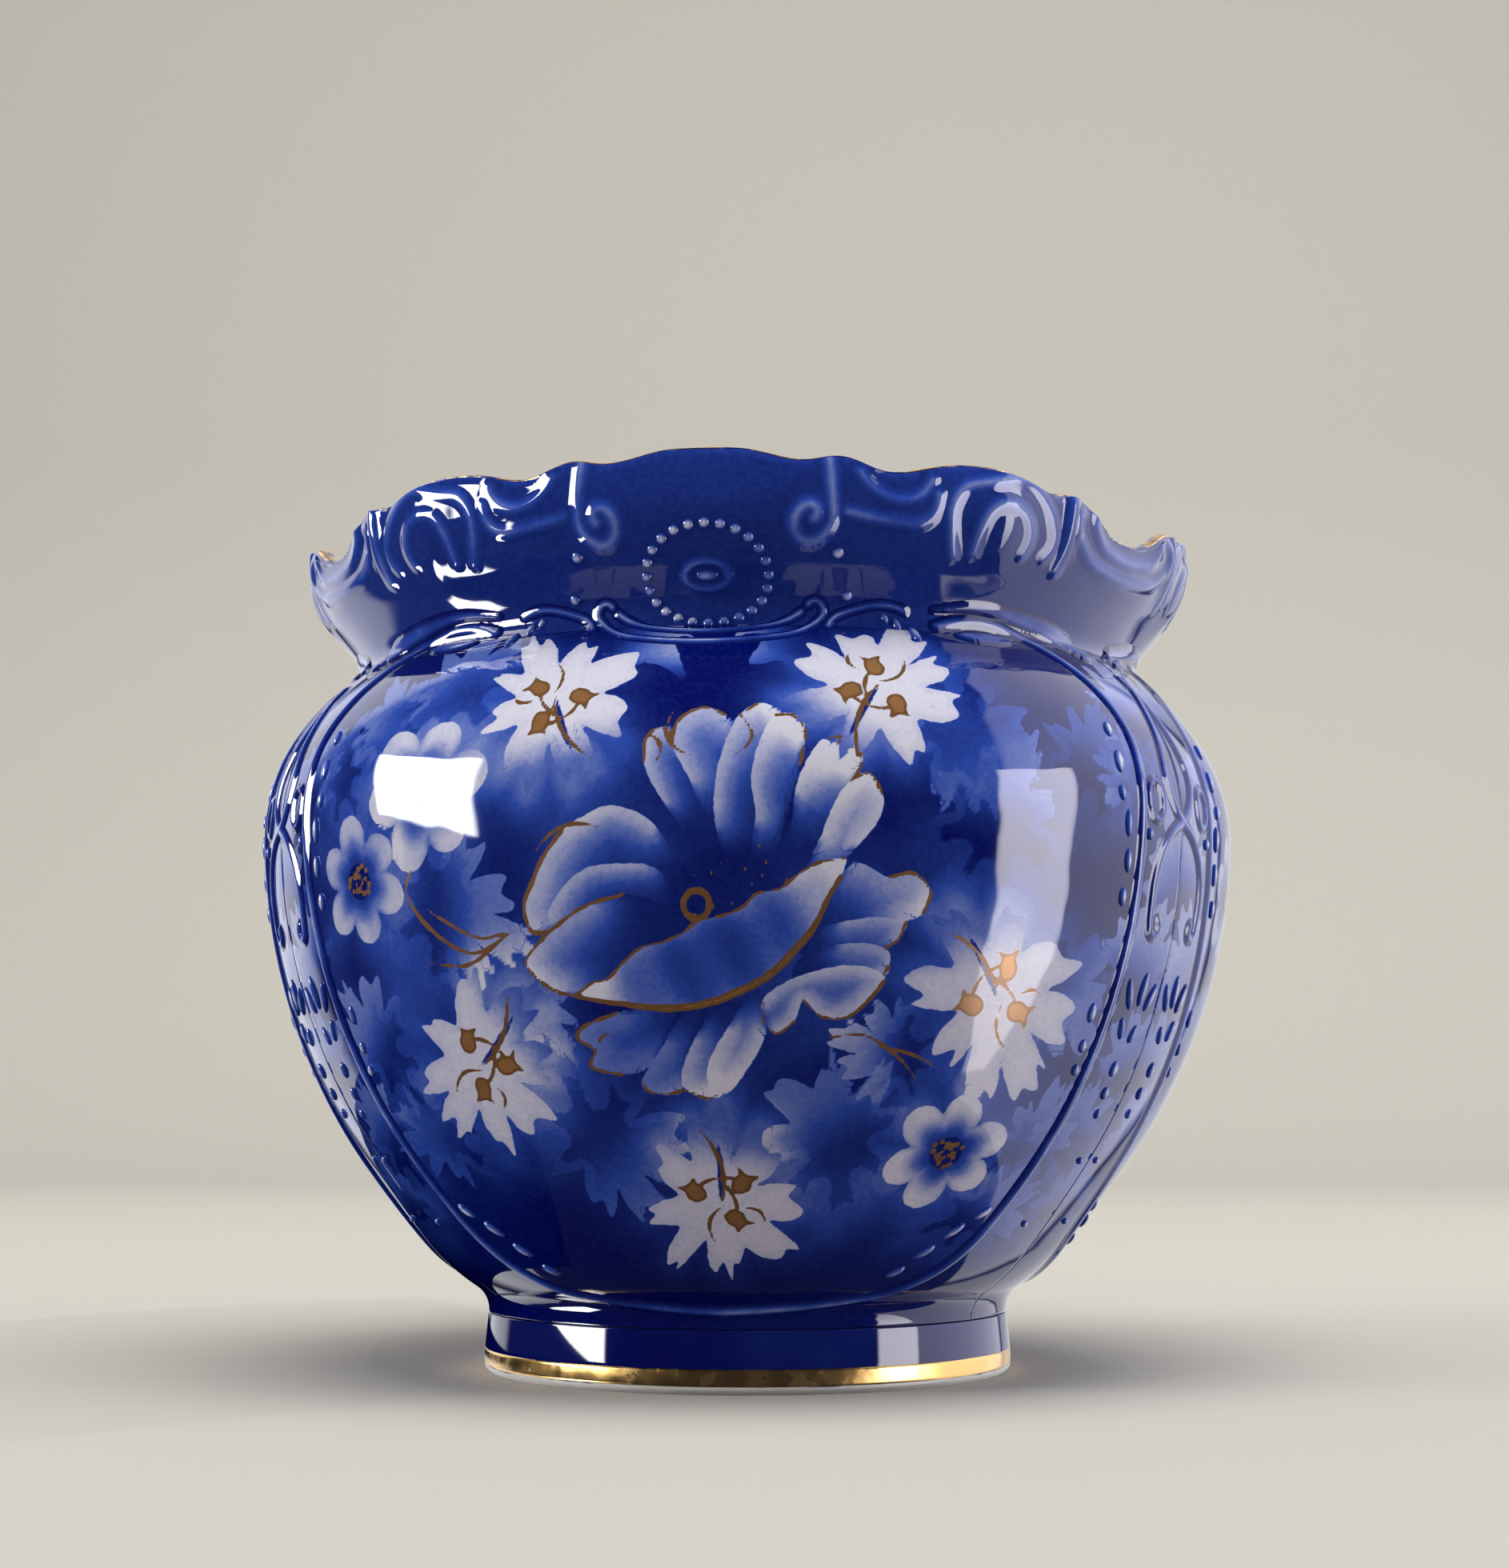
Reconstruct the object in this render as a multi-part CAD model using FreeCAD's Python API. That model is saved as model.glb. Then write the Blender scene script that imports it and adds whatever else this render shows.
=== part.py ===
import FreeCAD, Part

import math
import os

os.makedirs("parts", exist_ok=True)

V = FreeCAD.Vector
UP = V(0, 0, 1)
FRONT = V(0, -1, 0)

# The pot stands on the plane z = 0, its axis is Z and its front panel faces -Y.

# Driving sizes of the thrown form, in millimetres. The collar's line runs on by RIM_SPARE above the
# highest lobe, where its radius is RIM_R, and the scalloped rim is cut out of it.
HEIGHT = 220.6
FOOT_H = 15.5
BELLY_H = 136.6
NECK_H = 180.2
THROAT_R = 68.5
BELLY_R = 129.3
NECK_R = 106.6
RIM_R = 116.2
RIM_SPARE = 3.0
WALL = 6.0
FLOOR = 8.0

# Nodes of the outside line as shares of the way between the driving sizes: across, then up
FLANK_SHARES = ((0.058, 0.054), (0.271, 0.149), (0.531, 0.315))
SHOULDER_SHARES = ((0.30, 0.589),)
COLLAR_SHARES = ((-0.104, 0.166), (0.427, 0.309))

# Foot ring and its gilt band
FOOT_R = 69.4
FOOT_WALL = 8.5
FOOT_EDGE = 1.2
GILT_LOW = 2.0
GILT_W = 4.2
GILT = 0.2

# Scalloped rim: how far its lowest trough lies under its highest lobe, and the line of one half
# lobe as shares of a sixth of a turn and of that drop
UNITS = 3
RIM_DROP = 11.8
RIM_LINE_SHARES = (
    (0.0, 0.0), (0.09, 0.05), (0.20, 0.24), (0.26, 0.15), (0.34, 0.37), (0.46, 0.22),
    (0.64, 0.23), (0.735, 0.42), (0.79, 0.40), (0.86, 0.70), (0.93, 0.96), (1.0, 1.0),
)
LIP = 1.4

# Relief that stands on the wall, and what every cut runs past its piece
BODY_RELIEF = 1.3
RIM_RELIEF = 1.6
PEARL_RELIEF = 1.2
OVERRUN = 3.0

# Panel frame, drawn square to the direction FRAME_TURN from the panel's middle
FRAME_W = 2.6
FRAME_TURN = 40.0
FRAME_HEADING = 3.0
FRAME_START_SHARES = (-0.346, 0.027)
FRAME_SHARES = (
    (-0.121, 0.046), (0.067, 0.166), (0.147, 0.380), (0.207, 0.792), (0.205, 0.841),
    (0.138, 0.958), (0.086, 0.992), (-0.111, 1.016), (-0.140, 1.009),
)

# Each ribbon ornament: where its low end lies against the neck, the belly or the rim, its height,
# its width, its nodes as shares of its own height, and the direction in which it starts
SIXTH = 180.0 / UNITS
BRACKET_UNDER_NECK = 4.8
BRACKET_H = 10.4
BRACKET_W = 2.2
BRACKET_LINE_SHARES = ((0.0, 0.0), (1.73, 0.17), (2.52, 0.69), (2.46, 1.04), (2.22, 0.98))
BRACKET_INNER_SHARES = ((0.0, 0.29), (1.30, 0.42), (2.06, 0.80))

ARCH_TURN = 20.5
ARCH_HEADING = 66.0
ARCH_UNDER_NECK = 0.8
ARCH_H = 6.6
ARCH_W = 1.8
ARCH_SHARES = ((-1.50, 0.10), (-0.97, 0.62), (0.06, 0.97), (0.80, 1.02), (1.46, 0.84))

# The long leaf above each half of a frame, between an upper and a lower line that both start at its
# point, and the oval cushion under the frame's hooked end
LEAF_TURN = 45.0
LEAF_UNDER_NECK = 5.8
LEAF_H = 14.3
LEAF_UPPER_HEADING = 15.0
LEAF_LOWER_HEADING = -3.0
LEAF_UPPER_SHARES = (
    (-1.96, 0.88), (-1.33, 0.97), (-0.68, 1.0), (0.33, 0.91), (1.34, 0.75), (1.68, 0.45),
)
LEAF_LOWER_SHARES = ((-1.96, 0.80), (-1.10, 0.82), (-0.34, 0.77), (0.41, 0.61), (1.20, 0.13))

CUSHION_ACROSS = -15.2
CUSHION_UNDER_NECK = 0.7
CUSHION_RX = 9.2
CUSHION_RZ = 2.3

CURL_TURN = 13.2
CURL_HEADING = -85.0
CURL_UNDER_RIM = 22.0
CURL_H = 19.5
CURL_W = 2.5
CURL_SHARES = ((0.10, 1.0), (0.16, 0.34), (-0.07, 0.0), (-0.31, 0.17), (-0.18, 0.39), (-0.07, 0.24))

SWAG_TURN = 22.6
SWAG_HEADING = -55.0
SWAG_OUTER_HEADING = -12.0
SWAG_UNDER_RIM = 17.7
SWAG_H = 12.6
SWAG_W = 1.9
SWAG_SHARES = ((-0.78, 0.90), (-0.14, 0.47), (0.62, 0.86))
SWAG_OUTER_SHARES = ((-1.00, 0.18), (0.18, 0.02), (0.76, 0.58))

SHELL_TURN = 36.6
SHELL_HEADING = 120.0
SHELL_INNER_HEADING = 95.0
SHELL_UNDER_RIM = 23.0
SHELL_H = 19.0
SHELL_W = 2.3
SHELL_SHARES = (
    (-0.68, 0.0), (-0.82, 0.42), (-0.50, 0.86), (0.0, 0.98), (0.52, 0.86), (0.80, 0.42), (0.70, 0.10),
)
SHELL_INNER_SHARES = ((-0.42, 0.04), (-0.36, 0.44), (-0.02, 0.66), (0.34, 0.44), (0.32, 0.10))

BUD_TURN = 46.5
BUD_HEADING = 92.0
BUD_UNDER_RIM = 23.4
BUD_H = 17.5
BUD_W = 2.4
BUD_SHARES = ((-0.06, 0.0), (-0.05, 0.50), (0.05, 1.0))

CRESCENT_UNDER_RIM = 21.9
CRESCENT_H = 13.6
CRESCENT_W = 2.4
CRESCENT_SHARES = ((0.0, 0.0), (1.12, 0.13), (1.77, 0.56), (1.74, 0.96))
CRESCENT_INNER_SHARES = ((0.0, 0.35), (0.78, 0.43), (1.27, 0.74), (1.29, 1.0))

# Lyre scroll, drop loops, fronds and pearls of the strip between two panels
LYRE_UNDER_BELLY = 25.6
LYRE_H = 63.0
LYRE_W = 2.2
LYRE_SHARES = ((0.018, 1.0), (-0.092, 0.65), (0.022, 0.41), (0.20, 0.16), (0.19, 0.0), (0.14, 0.03))
LYRE_HEADING = -110.0

DROP_OVER_BELLY = 5.2
DROP_REACH = 12.4
DROP_RX = 3.8
DROP_RZ = 5.6
DROP_W = 1.5

# Beaded medallion on the collar
MEDALLION_OVER_NECK = 11.4
MEDALLION_RX = 14.3
MEDALLION_RZ = 10.8
MEDALLION_PEARLS = 24
MEDALLION_PEARL_R = 1.35
RING_RX = 5.9
RING_RZ = 3.6
RING_W = 1.5
BOSS_RX = 2.8
BOSS_RZ = 1.4

# Small domed sprigs: their places as degrees from the panel's middle and as a share of the way
# from the foot to the neck, or from the neck to the rim, then their half width and half length
# as shares of PEARL_R, and the lean of their long side in degrees
PEARL_R = 1.0
PEARL_TOP_SHARE = 0.5
SIDES = 6
FRAME_PEARL_SHARES = (
    (48.4, 0.865, 1.2, 2.2, -8), (48.6, 0.817, 1.5, 3.0, -4), (48.3, 0.770, 1.1, 2.0, 6),
    (49.2, 0.727, 1.0, 3.4, 0), (49.3, 0.673, 1.0, 3.0, 0), (48.9, 0.621, 1.1, 2.4, 0),
    (47.3, 0.456, 1.3, 2.6, 0), (47.3, 0.409, 1.2, 1.8, 0), (47.4, 0.375, 1.1, 1.6, 0),
)
STRIP_FROND_SHARES = (
    (53.4, 0.484, 1.1, 4.2, 18), (55.9, 0.492, 1.1, 4.4, -6), (58.0, 0.482, 1.0, 4.0, -24),
    (53.6, 0.435, 1.0, 3.0, 16), (56.4, 0.428, 1.2, 2.6, -20),
)
STRIP_PEARL_SHARES = (
    (53.1, 0.715, 1.2, 1.5, 0), (55.0, 0.377, 1.3, 2.2, 0), (55.2, 0.342, 1.2, 1.8, 0),
    (55.6, 0.312, 1.0, 1.4, 0), (57.6, 0.243, 1.0, 1.0, 0), (53.4, 0.150, 1.0, 1.0, 0),
)
LOW_FROND_SHARES = (
    (42.2, 0.170, 1.0, 3.0, -50), (38.2, 0.144, 1.0, 3.4, -50), (34.4, 0.114, 1.0, 3.2, -52),
    (30.6, 0.085, 1.0, 2.8, -54),
)
TUFT_FLUTE_SHARES = (
    (22.9, 1.016, 0.9, 1.5, 20), (24.4, 1.008, 1.0, 2.2, 12), (26.3, 0.992, 1.2, 3.4, 4),
)
CURL_DOT_SHARES = ((15.7, 0.399, 1.5, 1.5, 0), (17.7, 0.186, 1.4, 1.4, 0))


# The outside line of the pot

def between(low, high, shares):
    """Points at the given shares of the way from low to high, each (radius, height)."""
    return [(low[0] + a * (high[0] - low[0]), low[1] + b * (high[1] - low[1])) for a, b in shares]


def body_nodes():
    throat, belly = (THROAT_R, FOOT_H), (BELLY_R, BELLY_H)
    neck = (NECK_R, NECK_H)
    return [throat] + between(throat, belly, FLANK_SHARES) + [belly] + \
        between(belly, neck, SHOULDER_SHARES) + [neck]


def collar_nodes():
    neck, rim = (NECK_R, NECK_H), (RIM_R, HEIGHT + RIM_SPARE)
    return [neck] + between(neck, rim, COLLAR_SHARES) + [rim]


def tangent_arcs(nodes, heading):
    """Arcs through the nodes, each leaving in the direction in which the one before it ends.

    heading is the first direction in degrees from +X. Gives (start, middle, end) triples and the
    headings at the nodes.
    """
    arcs, headings = [], [heading]
    for (ax, ay), (bx, by) in zip(nodes, nodes[1:]):
        chord = math.degrees(math.atan2(by - ay, bx - ax))
        half_turn = (chord - headings[-1] + 180.0) % 360.0 - 180.0
        rise = math.hypot(bx - ax, by - ay) * math.tan(math.radians(half_turn) / 2) / 2
        side = math.radians(chord - 90.0)
        middle = ((ax + bx) / 2 + rise * math.cos(side), (ay + by) / 2 + rise * math.sin(side))
        arcs.append(((ax, ay), middle, (bx, by)))
        headings.append(headings[-1] + 2 * half_turn)
    return arcs, headings


def shifted_nodes(nodes, headings, shift):
    """The nodes moved square to their headings: outwards, to the right of an upward line."""
    turned = [math.radians(h - 90.0) for h in headings]
    return [(x + shift * math.cos(t), y + shift * math.sin(t)) for (x, y), t in zip(nodes, turned)]


BODY = body_nodes()
BODY_HEADINGS = tangent_arcs(BODY, 90.0)[1]
COLLAR = collar_nodes()
COLLAR_HEADINGS = tangent_arcs(COLLAR, BODY_HEADINGS[-1])[1]


def outside_edges(nodes, headings, shift):
    """The outside line through the nodes as edges in the XZ plane, moved outwards by shift."""
    arcs = tangent_arcs(shifted_nodes(nodes, headings, shift), headings[0])[0]
    return [Part.Arc(*(V(r, 0, z) for r, z in arc)).toShape() for arc in arcs]


def pot_edges(shift):
    return outside_edges(BODY, BODY_HEADINGS, shift) + outside_edges(COLLAR, COLLAR_HEADINGS, shift)


def ends(edges):
    points = [v.Point for e in edges for v in e.Vertexes]
    low = min(points, key=lambda p: p.z)
    high = max(points, key=lambda p: p.z)
    return low, high


def revolved(edges):
    outline = Part.Wire(Part.sortEdges(edges)[0])
    return Part.Face(outline).revolve(V(0, 0, 0), UP, 360)


def wall_between(inner, outer):
    """A turned wall between two open lines, closed by straight edges at both ends."""
    (a, b), (c, d) = ends(inner), ends(outer)
    return revolved(inner + outer + [Part.makeLine(a, c), Part.makeLine(b, d)])


def core(edges):
    """The turned solid inside an open line, out to which its pieces reach."""
    low, high = ends(edges)
    foot, top = V(0, 0, low.z), V(0, 0, high.z)
    return revolved(edges + [Part.makeLine(low, foot), Part.makeLine(foot, top), Part.makeLine(top, high)])


LINE = Part.Wire(pot_edges(0))


def surface_point(height):
    """Where the outside line is at a height, in the XZ plane."""
    level = Part.makeLine(V(0, 0, height), V(BELLY_R + OVERRUN, 0, height))
    return LINE.distToShape(level)[1][0][0]


# The thrown and moulded pieces

def foot_ring():
    """The turned foot: its upper edge slopes in to the throat, its lower edge is bevelled."""
    bore = FOOT_R - FOOT_WALL
    corners = (
        (bore, 0), (FOOT_R - FOOT_EDGE, 0), (FOOT_R, FOOT_EDGE),
        (FOOT_R, FOOT_H - FOOT_EDGE), (THROAT_R, FOOT_H), (bore, FOOT_H),
    )
    return revolved(Part.makePolygon([V(r, 0, z) for r, z in corners + corners[:1]]).Edges)


def foot_gilt_band():
    outer = Part.makeCylinder(FOOT_R + GILT, GILT_W, V(0, 0, GILT_LOW))
    return outer.cut(Part.makeCylinder(FOOT_R, GILT_W, V(0, 0, GILT_LOW)))


def bowl_wall():
    inner = outside_edges(BODY, BODY_HEADINGS, -WALL)
    return wall_between(inner, outside_edges(BODY, BODY_HEADINGS, 0))


def bowl_floor():
    inside = core(outside_edges(BODY, BODY_HEADINGS, -WALL))
    return inside.common(Part.makeCylinder(BELLY_R, FLOOR, V(0, 0, FOOT_H)))


def rim_line(radius, lift):
    """The scalloped rim as a closed curve at a radius, raised by lift."""
    half = [(a * SIXTH, HEIGHT - b * RIM_DROP) for a, b in RIM_LINE_SHARES]
    unit = half + [(2 * SIXTH - a, z) for a, z in reversed(half[1:-1])]
    points = []
    for k in range(UNITS):
        for angle, z in unit:
            t = math.radians(angle + 2 * SIXTH * k - 90.0)
            points.append(V(radius * math.cos(t), radius * math.sin(t), z + lift))
    curve = Part.BSplineCurve()
    curve.interpolate(Points=points, PeriodicFlag=True)
    return curve.toShape()


def above_rim(lift, depth):
    """A band from the rim's surface, raised by lift, up through depth."""
    reach = WALL + OVERRUN
    surface = Part.makeRuledSurface(rim_line(RIM_R + reach, lift), rim_line(RIM_R - reach, lift))
    return surface.extrude(UP * depth)


def collar_blank(inset):
    """The collar before its rim is cut, thinner by inset on both sides."""
    inner = outside_edges(COLLAR, COLLAR_HEADINGS, inset - WALL)
    return wall_between(inner, outside_edges(COLLAR, COLLAR_HEADINGS, -inset))


def collar():
    return collar_blank(0).cut(above_rim(0, RIM_DROP + RIM_SPARE + OVERRUN))


def rim_gilding():
    return collar_blank(LIP).common(above_rim(0, GILT))


# Relief: each sprig is cut out of a thin layer that lies on the outside of the pot

def layer(depth):
    return wall_between(pot_edges(0), pot_edges(depth))


BODY_LAYER = layer(BODY_RELIEF)
RIM_LAYER = layer(RIM_RELIEF).cut(above_rim(0, RIM_DROP + RIM_SPARE + OVERRUN))
POT_CORE = core(pot_edges(0))


def facing(face, turn):
    """A flat outline, drawn as (across, up), pushed through the wall in the direction turn."""
    face.rotate(V(0, 0, 0), V(1, 0, 0), 90)
    prism = face.extrude(FRONT * (BELLY_R + OVERRUN))
    prism.rotate(V(0, 0, 0), UP, turn)
    return prism


def ribbon(arcs, width):
    edges = [Part.Arc(*(V(x, y, 0) for x, y in arc)).toShape() for arc in arcs]
    return Part.Face(Part.Wire(edges).makeOffset2D(width / 2, 0, False, False, False))


def scaled(shares, height, low):
    return [(a * height, low + b * height) for a, b in shares]


def mirrored_arcs(arcs):
    """The arcs' mirror image, run backwards so that the arcs themselves can follow it."""
    return [tuple((-x, y) for x, y in reversed(arc)) for arc in reversed(arcs)]


def sprig(arcs, width, turn, stuff):
    """A ribbon in relief along arcs, standing on the outside of the pot."""
    return stuff.common(facing(ribbon(arcs, width), turn)).Solids


def single(shares, height, low, width, turn, heading, stuff):
    return sprig(tangent_arcs(scaled(shares, height, low), heading)[0], width, turn, stuff)


def double(shares, height, low, width, turn, stuff):
    """A ribbon that is level at its own middle and runs out alike to both sides."""
    arcs = tangent_arcs(scaled(shares, height, low), 0.0)[0]
    return sprig(mirrored_arcs(arcs) + arcs, width, turn, stuff)


def flipped(solids):
    return [s.mirror(V(0, 0, 0), V(1, 0, 0)) for s in solids]


def both_sides(solids):
    return solids + flipped(solids)


def all_round(solids):
    """Copies of the solids for every unit of the pot."""
    copies = []
    for k in range(UNITS):
        for s in solids:
            c = s.copy()
            c.rotate(V(0, 0, 0), UP, 2 * SIXTH * k)
            copies.append(c)
    return copies


def domes(places, low, high):
    """Small six-sided domes seated on the wall at shares of the way from low to high."""
    solids = []
    for turn, share, across, along, lean in places:
        height = low + share * (high - low)
        solids.append(dome(turn, height, across * PEARL_R, along * PEARL_R, lean))
    return all_round(both_sides(solids))


def dome(turn, height, half_w, half_l, lean):
    rings = []
    for shrink, level in ((1.0, -PEARL_RELIEF), (PEARL_TOP_SHARE, PEARL_RELIEF)):
        corners = []
        for k in range(SIDES + 1):
            t = 2 * math.pi * k / SIDES
            corners.append(V(half_w * shrink * math.sin(t), half_l * shrink * math.cos(t), level))
        rings.append(Part.makePolygon(corners))
    solid = Part.makeLoft(rings, True, True)
    solid.rotate(V(0, 0, 0), UP, lean)
    at = surface_point(height)
    slope = lean_out(height)
    solid.rotate(V(0, 0, 0), V(1, 0, 0), 90 + slope)
    solid.translate(V(0, -at.x, at.z))
    solid.rotate(V(0, 0, 0), UP, turn)
    return solid.cut(POT_CORE).Solids[0]


def lean_out(height):
    """How far the wall leans outwards at a height, in degrees, from two points on its line."""
    low, high = surface_point(height - GILT), surface_point(height + GILT)
    return math.degrees(math.atan2(high.x - low.x, high.z - low.z))


def oval(rx, rz):
    """A flat oval about the origin, lying across or standing up."""
    if rx >= rz:
        return Part.Face(Part.Wire(Part.Ellipse(V(0, 0, 0), rx, rz).toShape()))
    face = Part.Face(Part.Wire(Part.Ellipse(V(0, 0, 0), rz, rx).toShape()))
    face.rotate(V(0, 0, 0), UP, 90)
    return face


def oval_ring(rx, rz, width, across, up):
    face = oval(rx, rz).cut(oval(rx - width, rz - width))
    face.translate(V(across, up, 0))
    return face


def panel_frame():
    """Both halves of one panel's moulded frame, fused where they meet under the panel."""
    shares = (FRAME_START_SHARES,) + FRAME_SHARES
    nodes = [(a * BELLY_R, FOOT_H + b * (NECK_H - FOOT_H)) for a, b in shares]
    half = sprig(tangent_arcs(nodes, FRAME_HEADING)[0], FRAME_W, FRAME_TURN, BODY_LAYER)[0]
    return half.fuse(flipped([half])[0])


def neck_brackets():
    low = NECK_H - BRACKET_UNDER_NECK
    outer = double(BRACKET_LINE_SHARES, BRACKET_H, low, BRACKET_W, 0, BODY_LAYER)
    inner = double(BRACKET_INNER_SHARES, BRACKET_H, low, BRACKET_W, 0, BODY_LAYER)
    return all_round(outer + inner)


def neck_arches():
    low = NECK_H - ARCH_UNDER_NECK
    arch = single(ARCH_SHARES, ARCH_H, low, ARCH_W, ARCH_TURN, ARCH_HEADING, BODY_LAYER)
    return all_round(both_sides(arch))


def blade(upper, lower):
    """A flat leaf between two chains of arcs that run the same way."""
    edges = [Part.Arc(*(V(x, y, 0) for x, y in arc)).toShape() for arc in upper + lower]
    for k in (0, -1):
        starts, stops = upper[k][k], lower[k][k]
        edges.append(Part.makeLine(V(*starts, 0), V(*stops, 0)))
    return Part.Face(Part.Wire(Part.sortEdges(edges)[0]))


def neck_leaves():
    low = NECK_H - LEAF_UNDER_NECK
    upper = tangent_arcs(scaled(LEAF_UPPER_SHARES, LEAF_H, low), LEAF_UPPER_HEADING)[0]
    lower = tangent_arcs(scaled(LEAF_LOWER_SHARES, LEAF_H, low), LEAF_LOWER_HEADING)[0]
    leaf = BODY_LAYER.common(facing(blade(upper, lower), LEAF_TURN)).Solids
    return all_round(both_sides(leaf))


def neck_cushions():
    face = oval(CUSHION_RX, CUSHION_RZ)
    face.translate(V(CUSHION_ACROSS, NECK_H - CUSHION_UNDER_NECK, 0))
    return all_round(both_sides(BODY_LAYER.common(facing(face, LEAF_TURN)).Solids))


def rim_curls():
    low = HEIGHT - CURL_UNDER_RIM
    curl = single(CURL_SHARES, CURL_H, low, CURL_W, CURL_TURN, CURL_HEADING, RIM_LAYER)
    return all_round(both_sides(curl))


def rim_swags():
    swags = []
    for shares, heading in ((SWAG_SHARES, SWAG_HEADING), (SWAG_OUTER_SHARES, SWAG_OUTER_HEADING)):
        low = HEIGHT - SWAG_UNDER_RIM
        swags += single(shares, SWAG_H, low, SWAG_W, SWAG_TURN, heading, RIM_LAYER)
    return all_round(both_sides(swags))


def rim_shells():
    shells = []
    for shares, heading in ((SHELL_SHARES, SHELL_HEADING), (SHELL_INNER_SHARES, SHELL_INNER_HEADING)):
        low = HEIGHT - SHELL_UNDER_RIM
        shells += single(shares, SHELL_H, low, SHELL_W, SHELL_TURN, heading, RIM_LAYER)
    return all_round(both_sides(shells))


def rim_buds():
    low = HEIGHT - BUD_UNDER_RIM
    bud = single(BUD_SHARES, BUD_H, low, BUD_W, BUD_TURN, BUD_HEADING, RIM_LAYER)
    return all_round(both_sides(bud))


def rim_crescents():
    low = HEIGHT - CRESCENT_UNDER_RIM
    outer = double(CRESCENT_SHARES, CRESCENT_H, low, CRESCENT_W, SIXTH, RIM_LAYER)
    inner = double(CRESCENT_INNER_SHARES, CRESCENT_H, low, CRESCENT_W, SIXTH, RIM_LAYER)
    return all_round(outer + inner)


def lyre_scrolls():
    """Two long scrolls that cross twice on the strip between two panels, fused into one lyre."""
    nodes = scaled(LYRE_SHARES, LYRE_H, BELLY_H - LYRE_UNDER_BELLY)
    arcs = tangent_arcs(nodes, LYRE_HEADING)[0]
    right = sprig(arcs, LYRE_W, SIXTH, BODY_LAYER)[0]
    left = sprig(mirrored_arcs(arcs), LYRE_W, SIXTH, BODY_LAYER)[0]
    return all_round(right.fuse(left).Solids)


def drop_loops():
    loops = []
    for side in (-1, 1):
        across, up = side * DROP_REACH, BELLY_H + DROP_OVER_BELLY
        ring = oval_ring(DROP_RX, DROP_RZ, DROP_W, across, up)
        loops += BODY_LAYER.common(facing(ring, SIXTH)).Solids
    return all_round(loops)


def medallion_pearls():
    pearls = []
    for k in range(MEDALLION_PEARLS):
        t = 2 * math.pi * k / MEDALLION_PEARLS
        height = NECK_H + MEDALLION_OVER_NECK + MEDALLION_RZ * math.sin(t)
        turn = math.degrees(math.asin(MEDALLION_RX * math.cos(t) / surface_point(height).x))
        pearls.append(dome(turn, height, MEDALLION_PEARL_R, MEDALLION_PEARL_R, 0))
    return all_round(pearls)


def medallion_rings():
    ring = oval_ring(RING_RX, RING_RZ, RING_W, 0, NECK_H + MEDALLION_OVER_NECK)
    return all_round(BODY_LAYER.common(facing(ring, 0)).Solids)


def medallion_bosses():
    boss = oval(BOSS_RX, BOSS_RZ)
    boss.translate(V(0, NECK_H + MEDALLION_OVER_NECK, 0))
    return all_round(BODY_LAYER.common(facing(boss, 0)).Solids)


# Writing the parts

def save(name, solids):
    shape = solids[0] if len(solids) == 1 else Part.makeCompound(solids)
    shape.exportStep("parts/" + name + ".step")
    print(name, len(solids), round(shape.Volume))


def build():
    save("foot_ring", [foot_ring()])
    save("foot_gilt_band", [foot_gilt_band()])
    save("bowl_wall", [bowl_wall()])
    save("bowl_floor", [bowl_floor()])
    save("collar", [collar()])
    save("rim_gilding", rim_gilding().Solids)
    for name, frame in zip(("front", "right", "left"), all_round(panel_frame().Solids)):
        save("panel_frame_" + name, [frame])
    save("neck_brackets", neck_brackets())
    save("neck_arches", neck_arches())
    save("neck_shell_flutes", domes(TUFT_FLUTE_SHARES, FOOT_H, NECK_H))
    save("neck_leaves", neck_leaves())
    save("neck_cushions", neck_cushions())
    save("medallion_pearls", medallion_pearls())
    save("medallion_rings", medallion_rings())
    save("medallion_bosses", medallion_bosses())
    save("rim_curls", rim_curls())
    save("curl_dots", domes(CURL_DOT_SHARES, NECK_H, HEIGHT))
    save("rim_swags", rim_swags())
    save("rim_shells", rim_shells())
    save("rim_buds", rim_buds())
    save("rim_crescents", rim_crescents())
    save("lyre_scrolls", lyre_scrolls())
    save("drop_loops", drop_loops())
    save("frame_pearls", domes(FRAME_PEARL_SHARES, FOOT_H, NECK_H))
    save("strip_fronds", domes(STRIP_FROND_SHARES, FOOT_H, NECK_H))
    save("strip_pearls", domes(STRIP_PEARL_SHARES, FOOT_H, NECK_H))
    save("low_fronds", domes(LOW_FROND_SHARES, FOOT_H, NECK_H))


build()
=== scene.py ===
import math

import bpy
import numpy as np
from bpy.props import FloatProperty, FloatVectorProperty, IntProperty, PointerProperty
from mathutils import Matrix, Vector


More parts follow.
